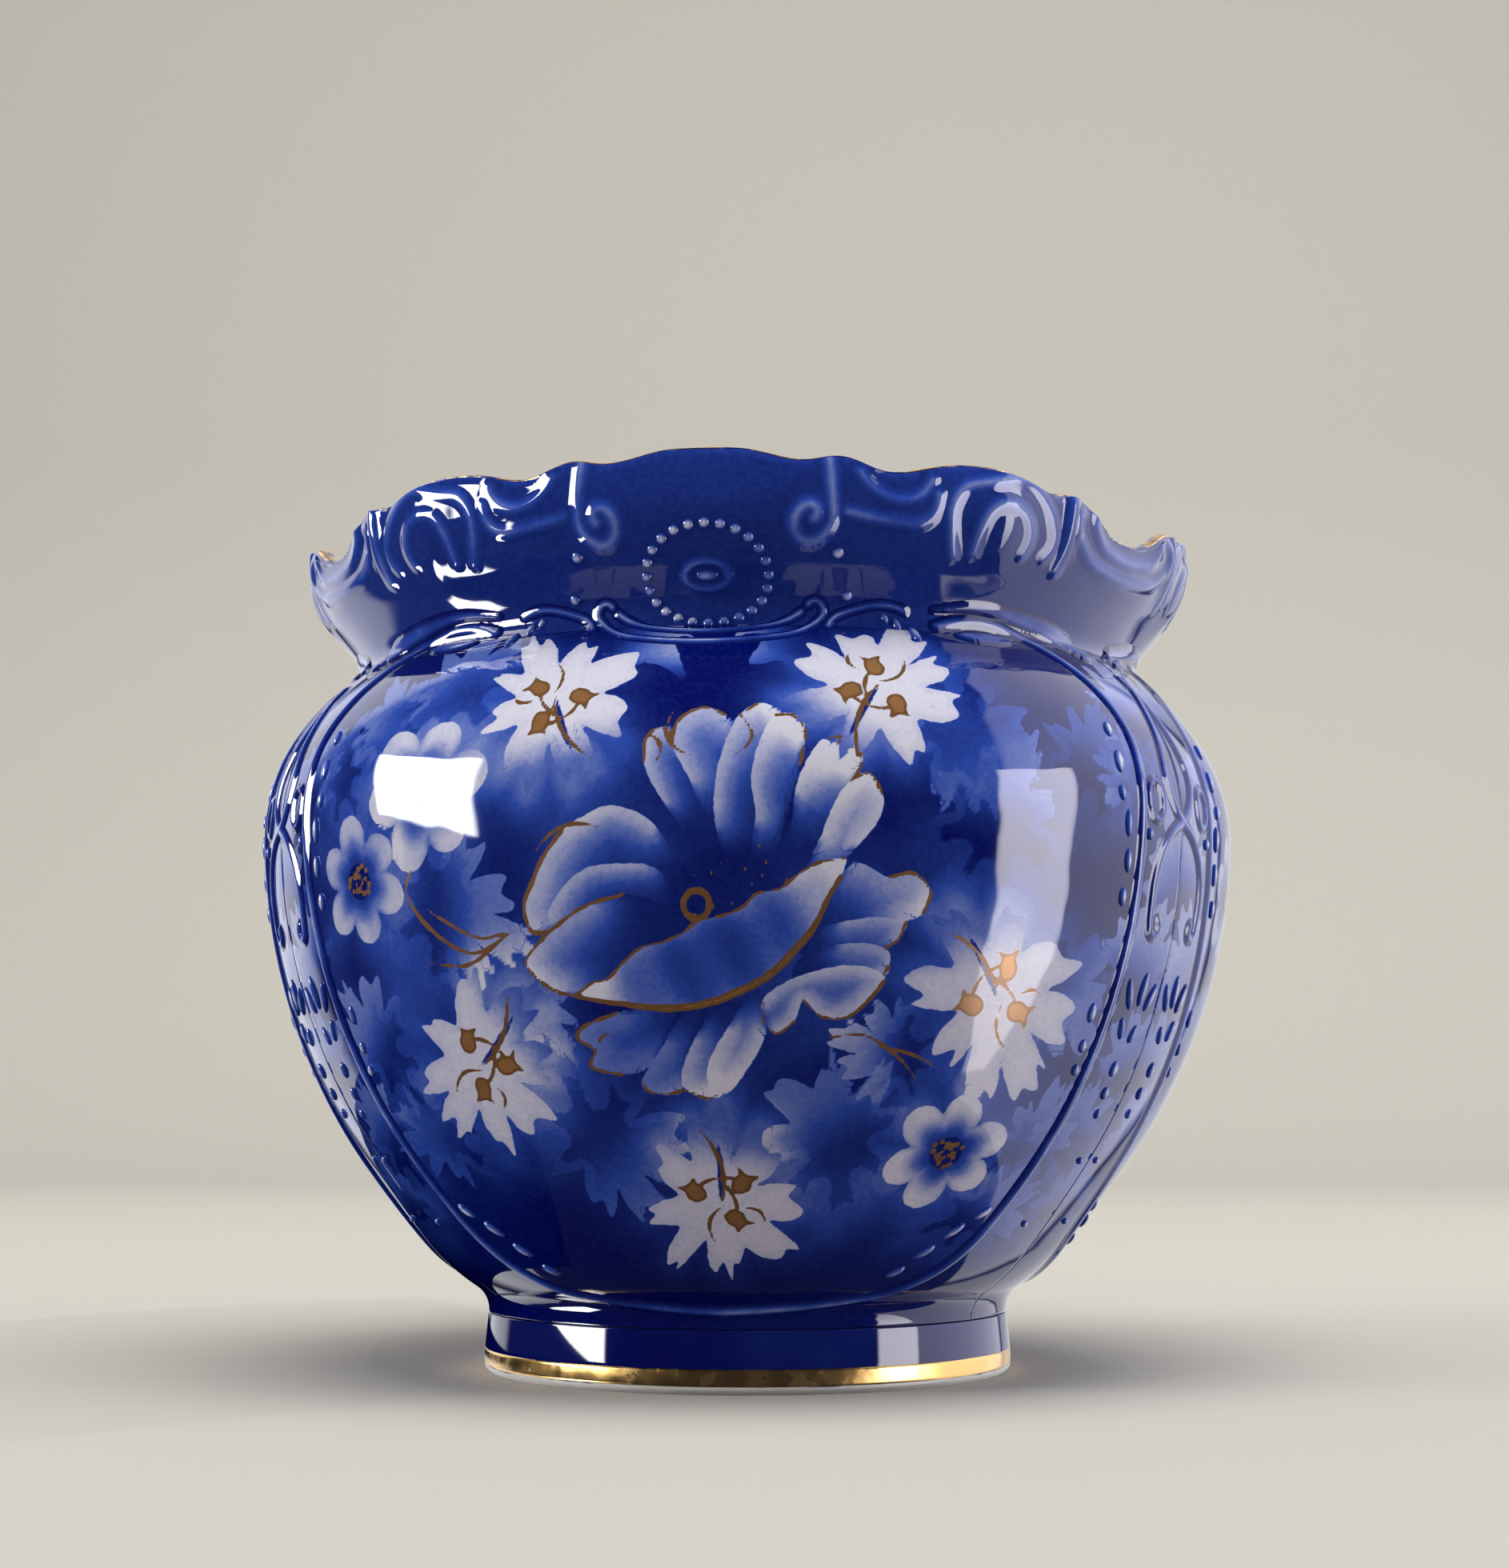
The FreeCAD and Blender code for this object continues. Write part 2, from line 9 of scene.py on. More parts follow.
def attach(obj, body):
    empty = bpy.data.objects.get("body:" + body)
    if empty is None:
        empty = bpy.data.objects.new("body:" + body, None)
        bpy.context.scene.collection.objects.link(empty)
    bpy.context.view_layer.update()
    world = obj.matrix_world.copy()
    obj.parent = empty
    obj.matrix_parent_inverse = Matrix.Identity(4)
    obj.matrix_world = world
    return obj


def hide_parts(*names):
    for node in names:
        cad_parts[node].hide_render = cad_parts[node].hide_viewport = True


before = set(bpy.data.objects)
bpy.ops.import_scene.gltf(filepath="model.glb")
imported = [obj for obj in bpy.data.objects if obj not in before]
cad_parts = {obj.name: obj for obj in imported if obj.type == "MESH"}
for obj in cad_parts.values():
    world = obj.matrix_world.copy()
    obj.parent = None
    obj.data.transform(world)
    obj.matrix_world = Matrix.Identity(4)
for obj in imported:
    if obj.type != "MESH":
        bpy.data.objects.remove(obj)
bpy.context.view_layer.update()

bl_info = {
    "name": "Glazed jardiniere",
    "version": (1, 0, 0),
    "blender": (4, 5, 0),
    "location": "3D View > Sidebar > Jardiniere",
    "description": "Dresses the packed jardiniere in glaze, moulded relief, print and gilding",
    "category": "Object",
}

MM = 0.001

# The thrown form in millimetres, as in the CAD source
FOOT_H, BELLY_H, NECK_H, HEIGHT, RIM_SPARE = 15.5, 136.6, 180.2, 220.6, 3.0
THROAT_R, BELLY_R, NECK_R, RIM_R = 68.5, 129.3, 106.6, 116.2
WALL = 6.0
FOOT_R, FOOT_BORE = 69.4, 60.9
GILT_LOW, GILT_HIGH = 2.0, 6.2
# Points of the outside line between throat and belly, belly and neck, neck and rim, as shares of the way
FLANK = ((0.058, 0.054), (0.271, 0.149), (0.531, 0.315))
SHOULDER = ((0.30, 0.589),)
COLLAR = ((-0.104, 0.166), (0.427, 0.309))
# The rim from a panel's middle to a strip's: shares of the angle, and of the drop below the highest point
RIM_DROP = 11.8
RIM_LINE = (
    (0.0, 0.0), (0.09, 0.05), (0.20, 0.24), (0.26, 0.15), (0.34, 0.37), (0.46, 0.22),
    (0.64, 0.23), (0.735, 0.42), (0.79, 0.40), (0.86, 0.70), (0.93, 0.96), (1.0, 1.0),
)
# Panels round the pot, and degrees from a panel's middle to a strip's
UNITS, SIXTH = 3, 60.0


# The outside line

def between(low, high, shares):
    """Points at shares of the way across and up from low to high."""
    return [(low[0] + a * (high[0] - low[0]), low[1] + b * (high[1] - low[1])) for a, b in shares]


def tangent_arcs(nodes, heading):
    """Arcs (start, middle, end) through the nodes, each leaving as the one before it ends."""
    arcs, headings = [], [heading]
    for (ax, ay), (bx, by) in zip(nodes, nodes[1:]):
        chord = math.degrees(math.atan2(by - ay, bx - ax))
        half_turn = (chord - headings[-1] + 180.0) % 360.0 - 180.0
        rise = math.hypot(bx - ax, by - ay) * math.tan(math.radians(half_turn) / 2) / 2
        side = math.radians(chord - 90.0)
        middle = ((ax + bx) / 2 + rise * math.cos(side), (ay + by) / 2 + rise * math.sin(side))
        arcs.append(((ax, ay), middle, (bx, by)))
        headings.append(headings[-1] + 2 * half_turn)
    return arcs, headings


def arc_samples(arc, step):
    """Points along an arc through three points, the last one left out."""
    (ax, ay), (mx, my), (bx, by) = arc
    chord, rise = math.hypot(bx - ax, by - ay), math.hypot(mx - (ax + bx) / 2, my - (ay + by) / 2)
    count = max(2, int(chord / step) + 1)
    t = np.arange(count) / count
    if rise < 1e-6 * chord:
        return np.stack([ax + t * (bx - ax), ay + t * (by - ay)], 1)
    d = 2 * (ax * (my - by) + mx * (by - ay) + bx * (ay - my))
    sa, sm, sb = ax * ax + ay * ay, mx * mx + my * my, bx * bx + by * by
    cx = (sa * (my - by) + sm * (by - ay) + sb * (ay - my)) / d
    cy = (sa * (bx - mx) + sm * (ax - bx) + sb * (mx - ax)) / d
    start = math.atan2(ay - cy, ax - cx)
    turn_m = (math.atan2(my - cy, mx - cx) - start + math.pi) % (2 * math.pi) - math.pi
    angles = start + 2 * turn_m * t
    radius = math.hypot(ax - cx, ay - cy)
    return np.stack([cx + radius * np.cos(angles), cy + radius * np.sin(angles)], 1)


def path(nodes, heading, step):
    """Points along tangent arcs through the nodes, from a first heading in degrees."""
    arcs = tangent_arcs(nodes, heading)[0]
    return np.concatenate([arc_samples(a, step) for a in arcs] + [np.array([nodes[-1]])])


def outside_line():
    """The pot's outside from throat to rim, as (radius, height)."""
    throat, belly = (THROAT_R, FOOT_H), (BELLY_R, BELLY_H)
    neck, rim = (NECK_R, NECK_H), (RIM_R, HEIGHT + RIM_SPARE)
    body = [throat] + between(throat, belly, FLANK) + [belly] + between(belly, neck, SHOULDER) + [neck]
    heading = tangent_arcs(body, 90.0)[1][-1]
    collar = [neck] + between(neck, rim, COLLAR) + [rim]
    return np.concatenate([path(body, 90.0, 0.25)[:-1], path(collar, heading, 0.25)])


LINE = outside_line()
LENGTHS = np.concatenate([[0], np.cumsum(np.hypot(*np.diff(LINE, axis=0).T))])
SLOPES = np.gradient(LINE[:, 0], LINE[:, 1])


def radius_at(z):
    """The outside's radius at a height."""
    return np.interp(z, LINE[:, 1], LINE[:, 0])


def length_at(z):
    """How far a height is from the throat, along the outside line."""
    return np.interp(z, LINE[:, 1], LENGTHS)


def level_at(length):
    """The height at a length along the outside line."""
    return np.interp(length, LENGTHS, LINE[:, 1])


def round_axis(r, phi, z):
    """Places at radius r and height z, phi radians round from the front panel's middle."""
    return np.stack([r * np.sin(phi), -r * np.cos(phi), z + 0 * phi], -1)


def outward(phi, z):
    """Unit normals of the outside."""
    lean = np.arctan(np.interp(z, LINE[:, 1], SLOPES))
    return round_axis(np.cos(lean), phi, -np.sin(lean))


# Soft swellings and hollows of the collar behind its ornament, in one half of a unit: degrees from
# the middle, height, half width and half height in millimetres, and how far they stand out
SWELLS = (
    (36.4, 208.0, 9.5, 12.0, 1.3), (36.4, 203.0, 3.4, 7.0, 0.5), (22.8, 212.5, 8.0, 3.6, -0.9),
    (12.3, 203.2, 4.6, 4.6, 0.9), (60.0, 207.5, 16.0, 6.0, -1.1), (47.0, 208.0, 2.6, 9.0, 0.8),
    (0.0, 214.5, 20.0, 6.5, -0.7), (22.0, 203.6, 9.0, 2.0, 0.4), (60.0, 199.5, 18.0, 2.4, 0.5),
)


def swell(phi, z):
    """How far the collar stands out from its turned form, in millimetres."""
    turn = np.degrees(np.abs(np.mod(phi + np.radians(SIXTH), np.radians(2 * SIXTH)) - np.radians(SIXTH)))
    total = 0.0 * turn
    for middle, height, across, up, out in SWELLS:
        for side in (-1, 1):
            far = ((turn - side * middle) * math.radians(RIM_R) / across) ** 2 + ((z - height) / up) ** 2
            total = total + (out if middle or side > 0 else 0.0) * np.exp(-far ** 1.5)
    return total * np.clip((z - NECK_H) / 8.0, 0, 1)


def on_wall(phi, z, lift=0.0):
    """Places on the outside, or lifted off it."""
    return round_axis(radius_at(z) + swell(phi, z), phi, z) + lift * outward(phi, z)


def rim_height(phi):
    """Height of the scalloped rim at angles phi: a smooth periodic curve through its shares."""
    half = [(a * SIXTH, HEIGHT - b * RIM_DROP) for a, b in RIM_LINE]
    unit = np.array(half + [(2 * SIXTH - a, z) for a, z in reversed(half[1:-1])])
    n, x, y = len(unit), np.radians(unit[:, 0]), unit[:, 1]
    span = np.diff(np.append(x, x[0] + np.radians(2 * SIXTH)))
    rows, right = np.zeros((n, n)), np.zeros(n)
    for i in range(n):
        a, b = span[i - 1], span[i]
        rows[i, i - 1], rows[i, i], rows[i, (i + 1) % n] = a, 2 * (a + b), b
        right[i] = 6 * ((y[(i + 1) % n] - y[i]) / b - (y[i] - y[i - 1]) / a)
    bend = np.linalg.solve(rows, right)
    p = np.mod(phi, np.radians(2 * SIXTH))
    i = np.clip(np.searchsorted(x, p, side="right") - 1, 0, n - 1)
    j, h = (i + 1) % n, span[i]
    t, u = p - x[i], h - (p - x[i])
    return (bend[i] * u ** 3 + bend[j] * t ** 3) / (6 * h) + (y[i] / h - bend[i] * h / 6) * u \
        + (y[j] / h - bend[j] * h / 6) * t


# Meshes

def new_piece(name, places, faces, values=None):
    """A smooth mesh object from places in millimetres, with point attributes."""
    mesh = bpy.data.meshes.new(name)
    mesh.from_pydata((np.asarray(places) * MM).tolist(), [], [tuple(f) for f in faces])
    for key, data in (values or {}).items():
        data = np.asarray(data, dtype=np.float32)
        kind = "FLOAT" if data.ndim == 1 else "FLOAT_VECTOR"
        field = mesh.attributes.new(key, kind, "POINT")
        field.data.foreach_set("value" if data.ndim == 1 else "vector", data.ravel())
    mesh.shade_smooth()
    mesh.update()
    piece = bpy.data.objects.new(name, mesh)
    bpy.context.scene.collection.objects.link(piece)
    return piece


def grid_faces(rows, cols):
    """Quads of a grid whose rows run up and whose columns run round, seen from outside."""
    i, j = np.meshgrid(np.arange(rows - 1), np.arange(cols - 1), indexing="ij")
    quads = np.stack([i * cols + j, i * cols + j + 1, (i + 1) * cols + j + 1, (i + 1) * cols + j], -1)
    return quads.reshape(-1, 4)


def ring_faces(rows, cols):
    """Quads of a grid that closes on itself both ways."""
    i, j = np.meshgrid(np.arange(rows), np.arange(cols), indexing="ij")
    up, on = (i + 1) % rows, (j + 1) % cols
    return np.stack([i * cols + j, i * cols + on, up * cols + on, up * cols + j], -1).reshape(-1, 4)


def ring_piece(name, rows, phi):
    """A closed ring from rows of (radius, height) at the angles phi, with the outside on their right."""
    places = np.concatenate([round_axis(r, phi, z) for r, z in rows])
    return new_piece(name, places, ring_faces(len(rows), len(phi)))


def turned(name, outline, columns):
    """A ring turned from a closed outline of (radius, height) with the outside on its right."""
    return ring_piece(name, outline, np.linspace(0, 2 * math.pi, columns, endpoint=False))


def shifted_line(shift, low, high, step):
    """The wall line moved outwards by shift, between two heights, upwards."""
    lean = np.arctan(SLOPES)
    r, z = LINE[:, 0] + shift * np.cos(lean), LINE[:, 1] - shift * np.sin(lean)
    levels = np.linspace(low, high, max(2, int((high - low) / step) + 1))
    return np.stack([np.interp(levels, z, r), levels], 1)


def finish_piece(piece, node):
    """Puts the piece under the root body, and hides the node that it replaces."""
    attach(piece, "root")
    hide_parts(node)


# Print: flat shapes as signed distances in millimetres, painted one over the other

# How far from a line its distance is worked out, and the distance that stands for farther off
REACH, FAR = 12.0, 60.0


def ramp(x, low, high):
    """From 0 at low to 1 at high, smoothly."""
    t = np.clip((x - low) / (high - low), 0, 1)
    return t * t * (3 - 2 * t)


def fading(shape, width):
    """1 inside a shape, and less and less outside it."""
    return np.exp(-(np.clip(shape, 0, FAR) / width) ** 1.5)


def cos_sin(degrees):
    """Cosine and sine of an angle in degrees."""
    return math.cos(math.radians(degrees)), math.sin(math.radians(degrees))


def lens(u, v, start, angle, length, width, bend):
    """Signed distance to a pointed leaf shape that starts at a point and runs along an angle."""
    c, s = cos_sin(angle)
    a = (u - start[0]) * c + (v - start[1]) * s - length / 2
    b = -(u - start[0]) * s + (v - start[1]) * c
    b = b + bend * (1 - (2 * a / length) ** 2) * length
    radius = (length ** 2 / 4 + width ** 2 / 4) / width
    return np.hypot(a, np.abs(b) + radius - width / 2) - radius


class Print:
    """Two tones on either side of the nearest crisp edge, and the distance to the gilding."""

    # How far the two tones reach from their edge, and the distance of an edge that isn't there
    BAND, NONE = 2.0, 9.0

    def __init__(self, phi, z):
        self.phi, self.z = np.degrees(phi), z
        self.r, self.s = radius_at(z), length_at(z)
        self.under = np.zeros_like(z)
        self.over = np.zeros_like(z)
        self.edge = np.full_like(z, self.NONE)
        self.gold = np.full_like(z, self.NONE)

    def local(self, place, angle=0.0):
        """Millimetres across and up from a place (angle, height), turned by an angle."""
        u = np.radians(self.phi - place[0]) * self.r
        v = self.s - length_at(place[1])
        c, s = cos_sin(angle)
        return u * c + v * s, -u * s + v * c

    def tone(self):
        """The tone that shows, on whichever side of the edge."""
        return np.where(self.edge > 0, self.under, self.over)

    def glow(self, amount):
        """Lightens the glaze softly."""
        self.under = self.under + amount
        self.over = self.over + amount

    def paint(self, shape, tone):
        """Covers what lies inside the shape, and the gilding there."""
        flat = self.tone()
        near = shape < self.BAND
        self.under = np.where(near, flat, self.under)
        cover = ramp(shape, 0.62 * self.BAND, 0.3 * self.BAND)
        self.over = np.where(near, flat + (tone - flat) * cover, self.over)
        self.edge = np.where(near, shape, self.edge)
        deep = shape < -self.BAND
        self.under = np.where(deep, tone, self.under)
        calm = np.abs(self.edge) > self.BAND
        flat = self.tone()
        self.under = np.where(calm, flat, self.under)
        self.over = np.where(calm, flat, self.over)
        self.gold = np.maximum(self.gold, -shape - 0.3)

    def gild(self, distance):
        """Gilds what lies inside the signed distance."""
        self.gold = np.minimum(self.gold, distance)

    def stroke(self, places, width):
        """A gilt line through (angle, height) places, tapering to both ends."""
        p = np.array(places, dtype=float)
        t = np.linspace(0, len(p) - 1, 8 * (len(p) - 1) + 1)
        smooth = np.stack([catmull(p[:, k], t) for k in (0, 1)], 1)
        best = np.full_like(self.z, self.NONE)
        total = len(smooth) - 1
        for k in range(total):
            u, v = self.local(smooth[k])
            e = (math.radians(smooth[k + 1][0] - smooth[k][0]) * radius_at(smooth[k][1]),
                 length_at(smooth[k + 1][1]) - length_at(smooth[k][1]))
            along = np.clip((u * e[0] + v * e[1]) / (e[0] ** 2 + e[1] ** 2 + 1e-9), 0, 1)
            thin = width * (0.35 + 0.65 * math.sin(math.pi * (k + 0.5) / total))
            best = np.minimum(best, np.hypot(u - along * e[0], v - along * e[1]) - thin / 2)
        self.gild(best)


def catmull(values, t):
    """A smooth curve through evenly spaced values, at the steps t."""
    i = np.clip(t.astype(int), 0, len(values) - 2)
    f = t - i
    p = np.concatenate([[2 * values[0] - values[1]], values, [2 * values[-1] - values[-2]]])
    a, b, c, d = p[i], p[i + 1], p[i + 2], p[i + 3]
    return 0.5 * (2 * b + (c - a) * f + (2 * a - 5 * b + 4 * c - d) * f ** 2
                  + (3 * b - a - 3 * c + d) * f ** 3)


def curve(points, closed):
    """Places along a smooth line through the points, six to each step."""
    p = np.array(points, dtype=float)
    t = np.linspace(0, len(p) - 1, 6 * (len(p) - 1) + 1)
    if closed:
        t = np.linspace(1, len(p) + 1, 6 * len(p) + 1)
        p = np.concatenate([p[-1:], p, p[:2]])
    return np.stack([catmull(p[:, k], t) for k in (0, 1)], 1)


def away_from(places, points, closed=False):
    """Distance from a smooth line through the points; negative inside it where it is closed."""
    rail = curve(points, closed)
    low, high = rail.min(axis=0) - REACH, rail.max(axis=0) + REACH
    near = (places[0] > low[0]) & (places[0] < high[0]) & (places[1] > low[1]) & (places[1] < high[1])
    u, v = places[0][near], places[1][near]
    best, inside = np.full(len(u), FAR), np.zeros(len(u), dtype=bool)
    for (ax, ay), (bx, by) in zip(rail, rail[1:]):
        dx, dy = bx - ax, by - ay
        t = np.clip(((u - ax) * dx + (v - ay) * dy) / (dx * dx + dy * dy + 1e-12), 0, 1)
        best = np.minimum(best, np.hypot(u - ax - t * dx, v - ay - t * dy))
        if closed and abs(dy) > 1e-9:
            inside ^= ((ay > v) != (by > v)) & (u < ax + (v - ay) * dx / dy)
    whole = np.full_like(places[0], FAR)
    whole[near] = np.where(inside, -best, best)
    return whole


def fold(sheet, places, outline, pale, light, fade, gilt):
    """One fold of a petal, pale along one stretch of its outline and deep blue away from it.

    pale has the first and last point of that stretch, light its tone and fade how far it reaches
    inwards. Each row of gilt has the first and last point of a gilded stretch, and its line's width.
    """
    ring = outline + outline
    shape = away_from(places, outline, True)
    far = np.clip(away_from(places, ring[pale[0]:pale[1] + 1]), 0, FAR) / fade
    # From the blossom's eye outwards petals grow lighter, and their pale edge reaches farther in
    hub = np.hypot(places[0] - 6, places[1] + 1)
    tip = ramp(hub, 20, 48)
    tone = light * (0.12 + 0.30 * tip + (0.88 - 0.30 * tip) * np.exp(-(far / (0.9 + 0.5 * tip)) ** 1.6))
    # A slightly darker line along the edge that isn't pale
    tone = tone * (1 - 0.30 * ramp(shape, -1.6, -0.2) * ramp(far * fade, 1.2, 3.0))
    sheet.paint(shape, 0.90 * tone * (0.22 + 0.78 * ramp(hub, 7, 25)))
    for first, last, width in gilt:
        edge = away_from(places, ring[first:last + 1])
        uneven = 0.84 + 0.16 * np.sin(0.9 * places[0] + 1.7) * np.cos(0.7 * places[1])
        sheet.gild(edge - 1.4 * width * uneven / 2)


# Outline of a leaf with its tip at 0 degrees, as (angle, reach) with 18 for a full lobe
LEAF = (
    (-17, 14), (-10, 18), (-4, 16.5), (2, 21), (9, 17), (15, 18.5), (20, 14.5), (25, 10.5), (30, 14),
    (36, 18), (41, 17), (47, 19.5), (54, 15.5), (60, 11), (65, 14), (71, 17.5), (78, 15.5), (86, 18.5),
    (94, 14.5), (101, 10), (108, 13.5), (116, 17), (124, 15), (133, 18.5), (143, 14), (151, 9.5),
    (158, 12.5), (166, 17), (175, 15), (184, 18), (194, 14), (204, 9.5), (211, 13), (219, 18),
    (227, 15.5), (236, 17.5), (244, 14), (251, 10), (258, 13.5), (266, 17.5), (274, 16.5), (282, 19.5),
    (290, 15), (296, 11), (302, 14), (309, 18), (317, 16), (325, 17.5), (333, 14.5), (339, 11),
)
# A bud with three points, its foot to the left
BUD = (
    (-1.0, 0.0), (-0.8, 0.55), (-0.1, 0.75), (0.6, 0.6), (1.15, 0.9), (0.85, 0.1), (1.1, -0.8),
    (0.5, -0.6), (-0.2, -0.75), (-0.8, -0.5),
)


def leaf_shape(sheet, centre, size, angle, warp):
    """Signed distance to a leaf, each a little otherwise by its warp, and places about its centre."""
    side = 1 if math.sin(3 * warp) > 0 else -1
    outline = []
    for k, (turn, reach) in enumerate(LEAF):
        uneven = 1 + 0.10 * math.sin(warp + 0.35 * k) + 0.05 * math.sin(2.3 * warp + 1.9 * k)
        far = reach * size / 18 * uneven
        c, s = cos_sin(turn + 3.0 * math.sin(1.7 * warp + 0.9 * k))
        outline.append((1.15 * far * c, 0.92 * far * s * side))
    return (away_from(sheet.local(centre, angle), outline, True),) + sheet.local(centre)


def pale_leaf(sheet, centre, size, angle, warp, tone):
    """A near-white leaf that melts into the ground at its foot, with three gilt buds on curved stalks."""
    shape, u, v = leaf_shape(sheet, centre, size, angle, warp)
    c, s = cos_sin(angle - 20)
    foot = -(u * c + v * s)
    melt = ramp(foot / (np.hypot(u, v) + 1), 0.1, 0.95)
    sheet.glow((0.12 + 0.36 * melt) * fading(shape, 4.0 + 2.5 * melt))
    sheet.paint(shape, tone - 0.44 * ramp(foot, 0.30 * size, 1.0 * size) - 0.06 * ramp(shape, -3.0, 0.0))
    vein = lens(u, v, (0.06 * size * c, 0.06 * size * s), angle + 176, 0.85 * size, 1.5, 0.03)
    sheet.paint(vein, 0.16 + 0 * u)

    def at(turn, far):
        return tuple(far * size * way for way in cos_sin(angle + turn))

    # The three buds and their stalks, then the stem, the lobe's line and a twig
    bud = 0.155 * size
    for turn, far, lean in ((24, 0.34, 10), (128, 0.33, 20), (-112, 0.31, -35)):
        spot, (c, s) = at(turn, far), cos_sin(angle + turn + lean)
        du, dv = (u - spot[0]) / bud, (v - spot[1]) / bud
        sheet.gild(away_from((du * c + dv * s, dv * c - du * s), BUD, True) * bud)
        line(sheet, (u, v), at(180, 0.30), spot, 0.12 * (1 if turn > 0 else -1), 0.95)
    for start, end, bend, width in (
        ((188, 0.95), (0, 0.05), 0.12, 1.05), ((10, 0.10), (-14, 0.62), -0.20, 0.95),
        ((60, 0.30), (52, 0.58), 0.22, 0.95),
    ):
        line(sheet, (u, v), at(*start), at(*end), bend, width)


def line(sheet, places, start, end, bend, width):
    """A thin gilt line from start to end with a bend, tapering to both ends."""
    u, v = places[0] - start[0], places[1] - start[1]
    du, dv = end[0] - start[0], end[1] - start[1]
    length = math.hypot(du, dv)
    a = (u * du + v * dv) / length
    b = (v * du - u * dv) / length
    t = np.clip(a / length, 0, 1)
    away = np.abs(b - 4 * bend * length * t * (1 - t))
    sheet.gild(np.hypot(away, a - t * length) - width * np.sqrt(0.15 + 3.4 * t * (1 - t)) / 2)


def shadow_leaf(sheet, centre, size, angle, warp, tone):
    """A mid-blue leaf under the print, that melts into the ground towards its foot."""
    shape, u, v = leaf_shape(sheet, centre, size, angle, warp)
    c, s = cos_sin(angle)
    along, across = (u * c + v * s) / size, (-u * s + v * c) / size
    strength = ramp(along + 0.35 * across, -0.4, 0.8)
    ground = sheet.tone()
    sheet.paint(shape, ground + (tone - ground) * strength)
    sheet.glow(0.16 * fading(shape, 5.0) * (1 - strength) * (shape > -2.5))


# Petals of a small flower
PETALS = 6


def small_flower(sheet, centre, size, turn, tone, dots=14):
    """A six-petalled flower with a dark eye and rings of gilt dots."""
    u, v = sheet.local(centre, turn)
    angle, r = np.arctan2(v, u), np.hypot(u, v)
    wave = np.abs(np.cos(PETALS * angle / 2))
    rim = size * (0.60 + 0.40 * wave ** 0.65) * (1 + 0.06 * np.cos(3 * angle + turn))
    shape = (r - rim) * 0.85
    along = r / rim
    # Darker towards the eye, between the petals and on one side of each petal
    shade = 0.22 + (tone - 0.22) * ramp(along, 0.25, 0.85)
    shade = shade - 0.30 * (1 - wave) ** 2 * along
    shade = shade - 0.10 * ramp(np.sin(PETALS * angle / 2 + 0.6), 0.0, 1.0) * along
    sheet.glow(0.16 * fading(shape, 5.0))
    sheet.paint(shape, shade)
    sheet.paint(r - 0.27 * size, 0.02 + 0 * r)
    outer = [(2 * math.pi * k / dots, 0.20 + 0.07 * math.sin(5.1 * k + turn), 0.045) for k in range(dots)]
    inner = [(2 * math.pi * k / 5 + 0.4, 0.09, 0.035) for k in range(5)]
    for a, far, wide in outer + inner:
        sheet.gild(np.hypot(u - far * size * math.cos(a), v - far * size * math.sin(a)) - wide * size)


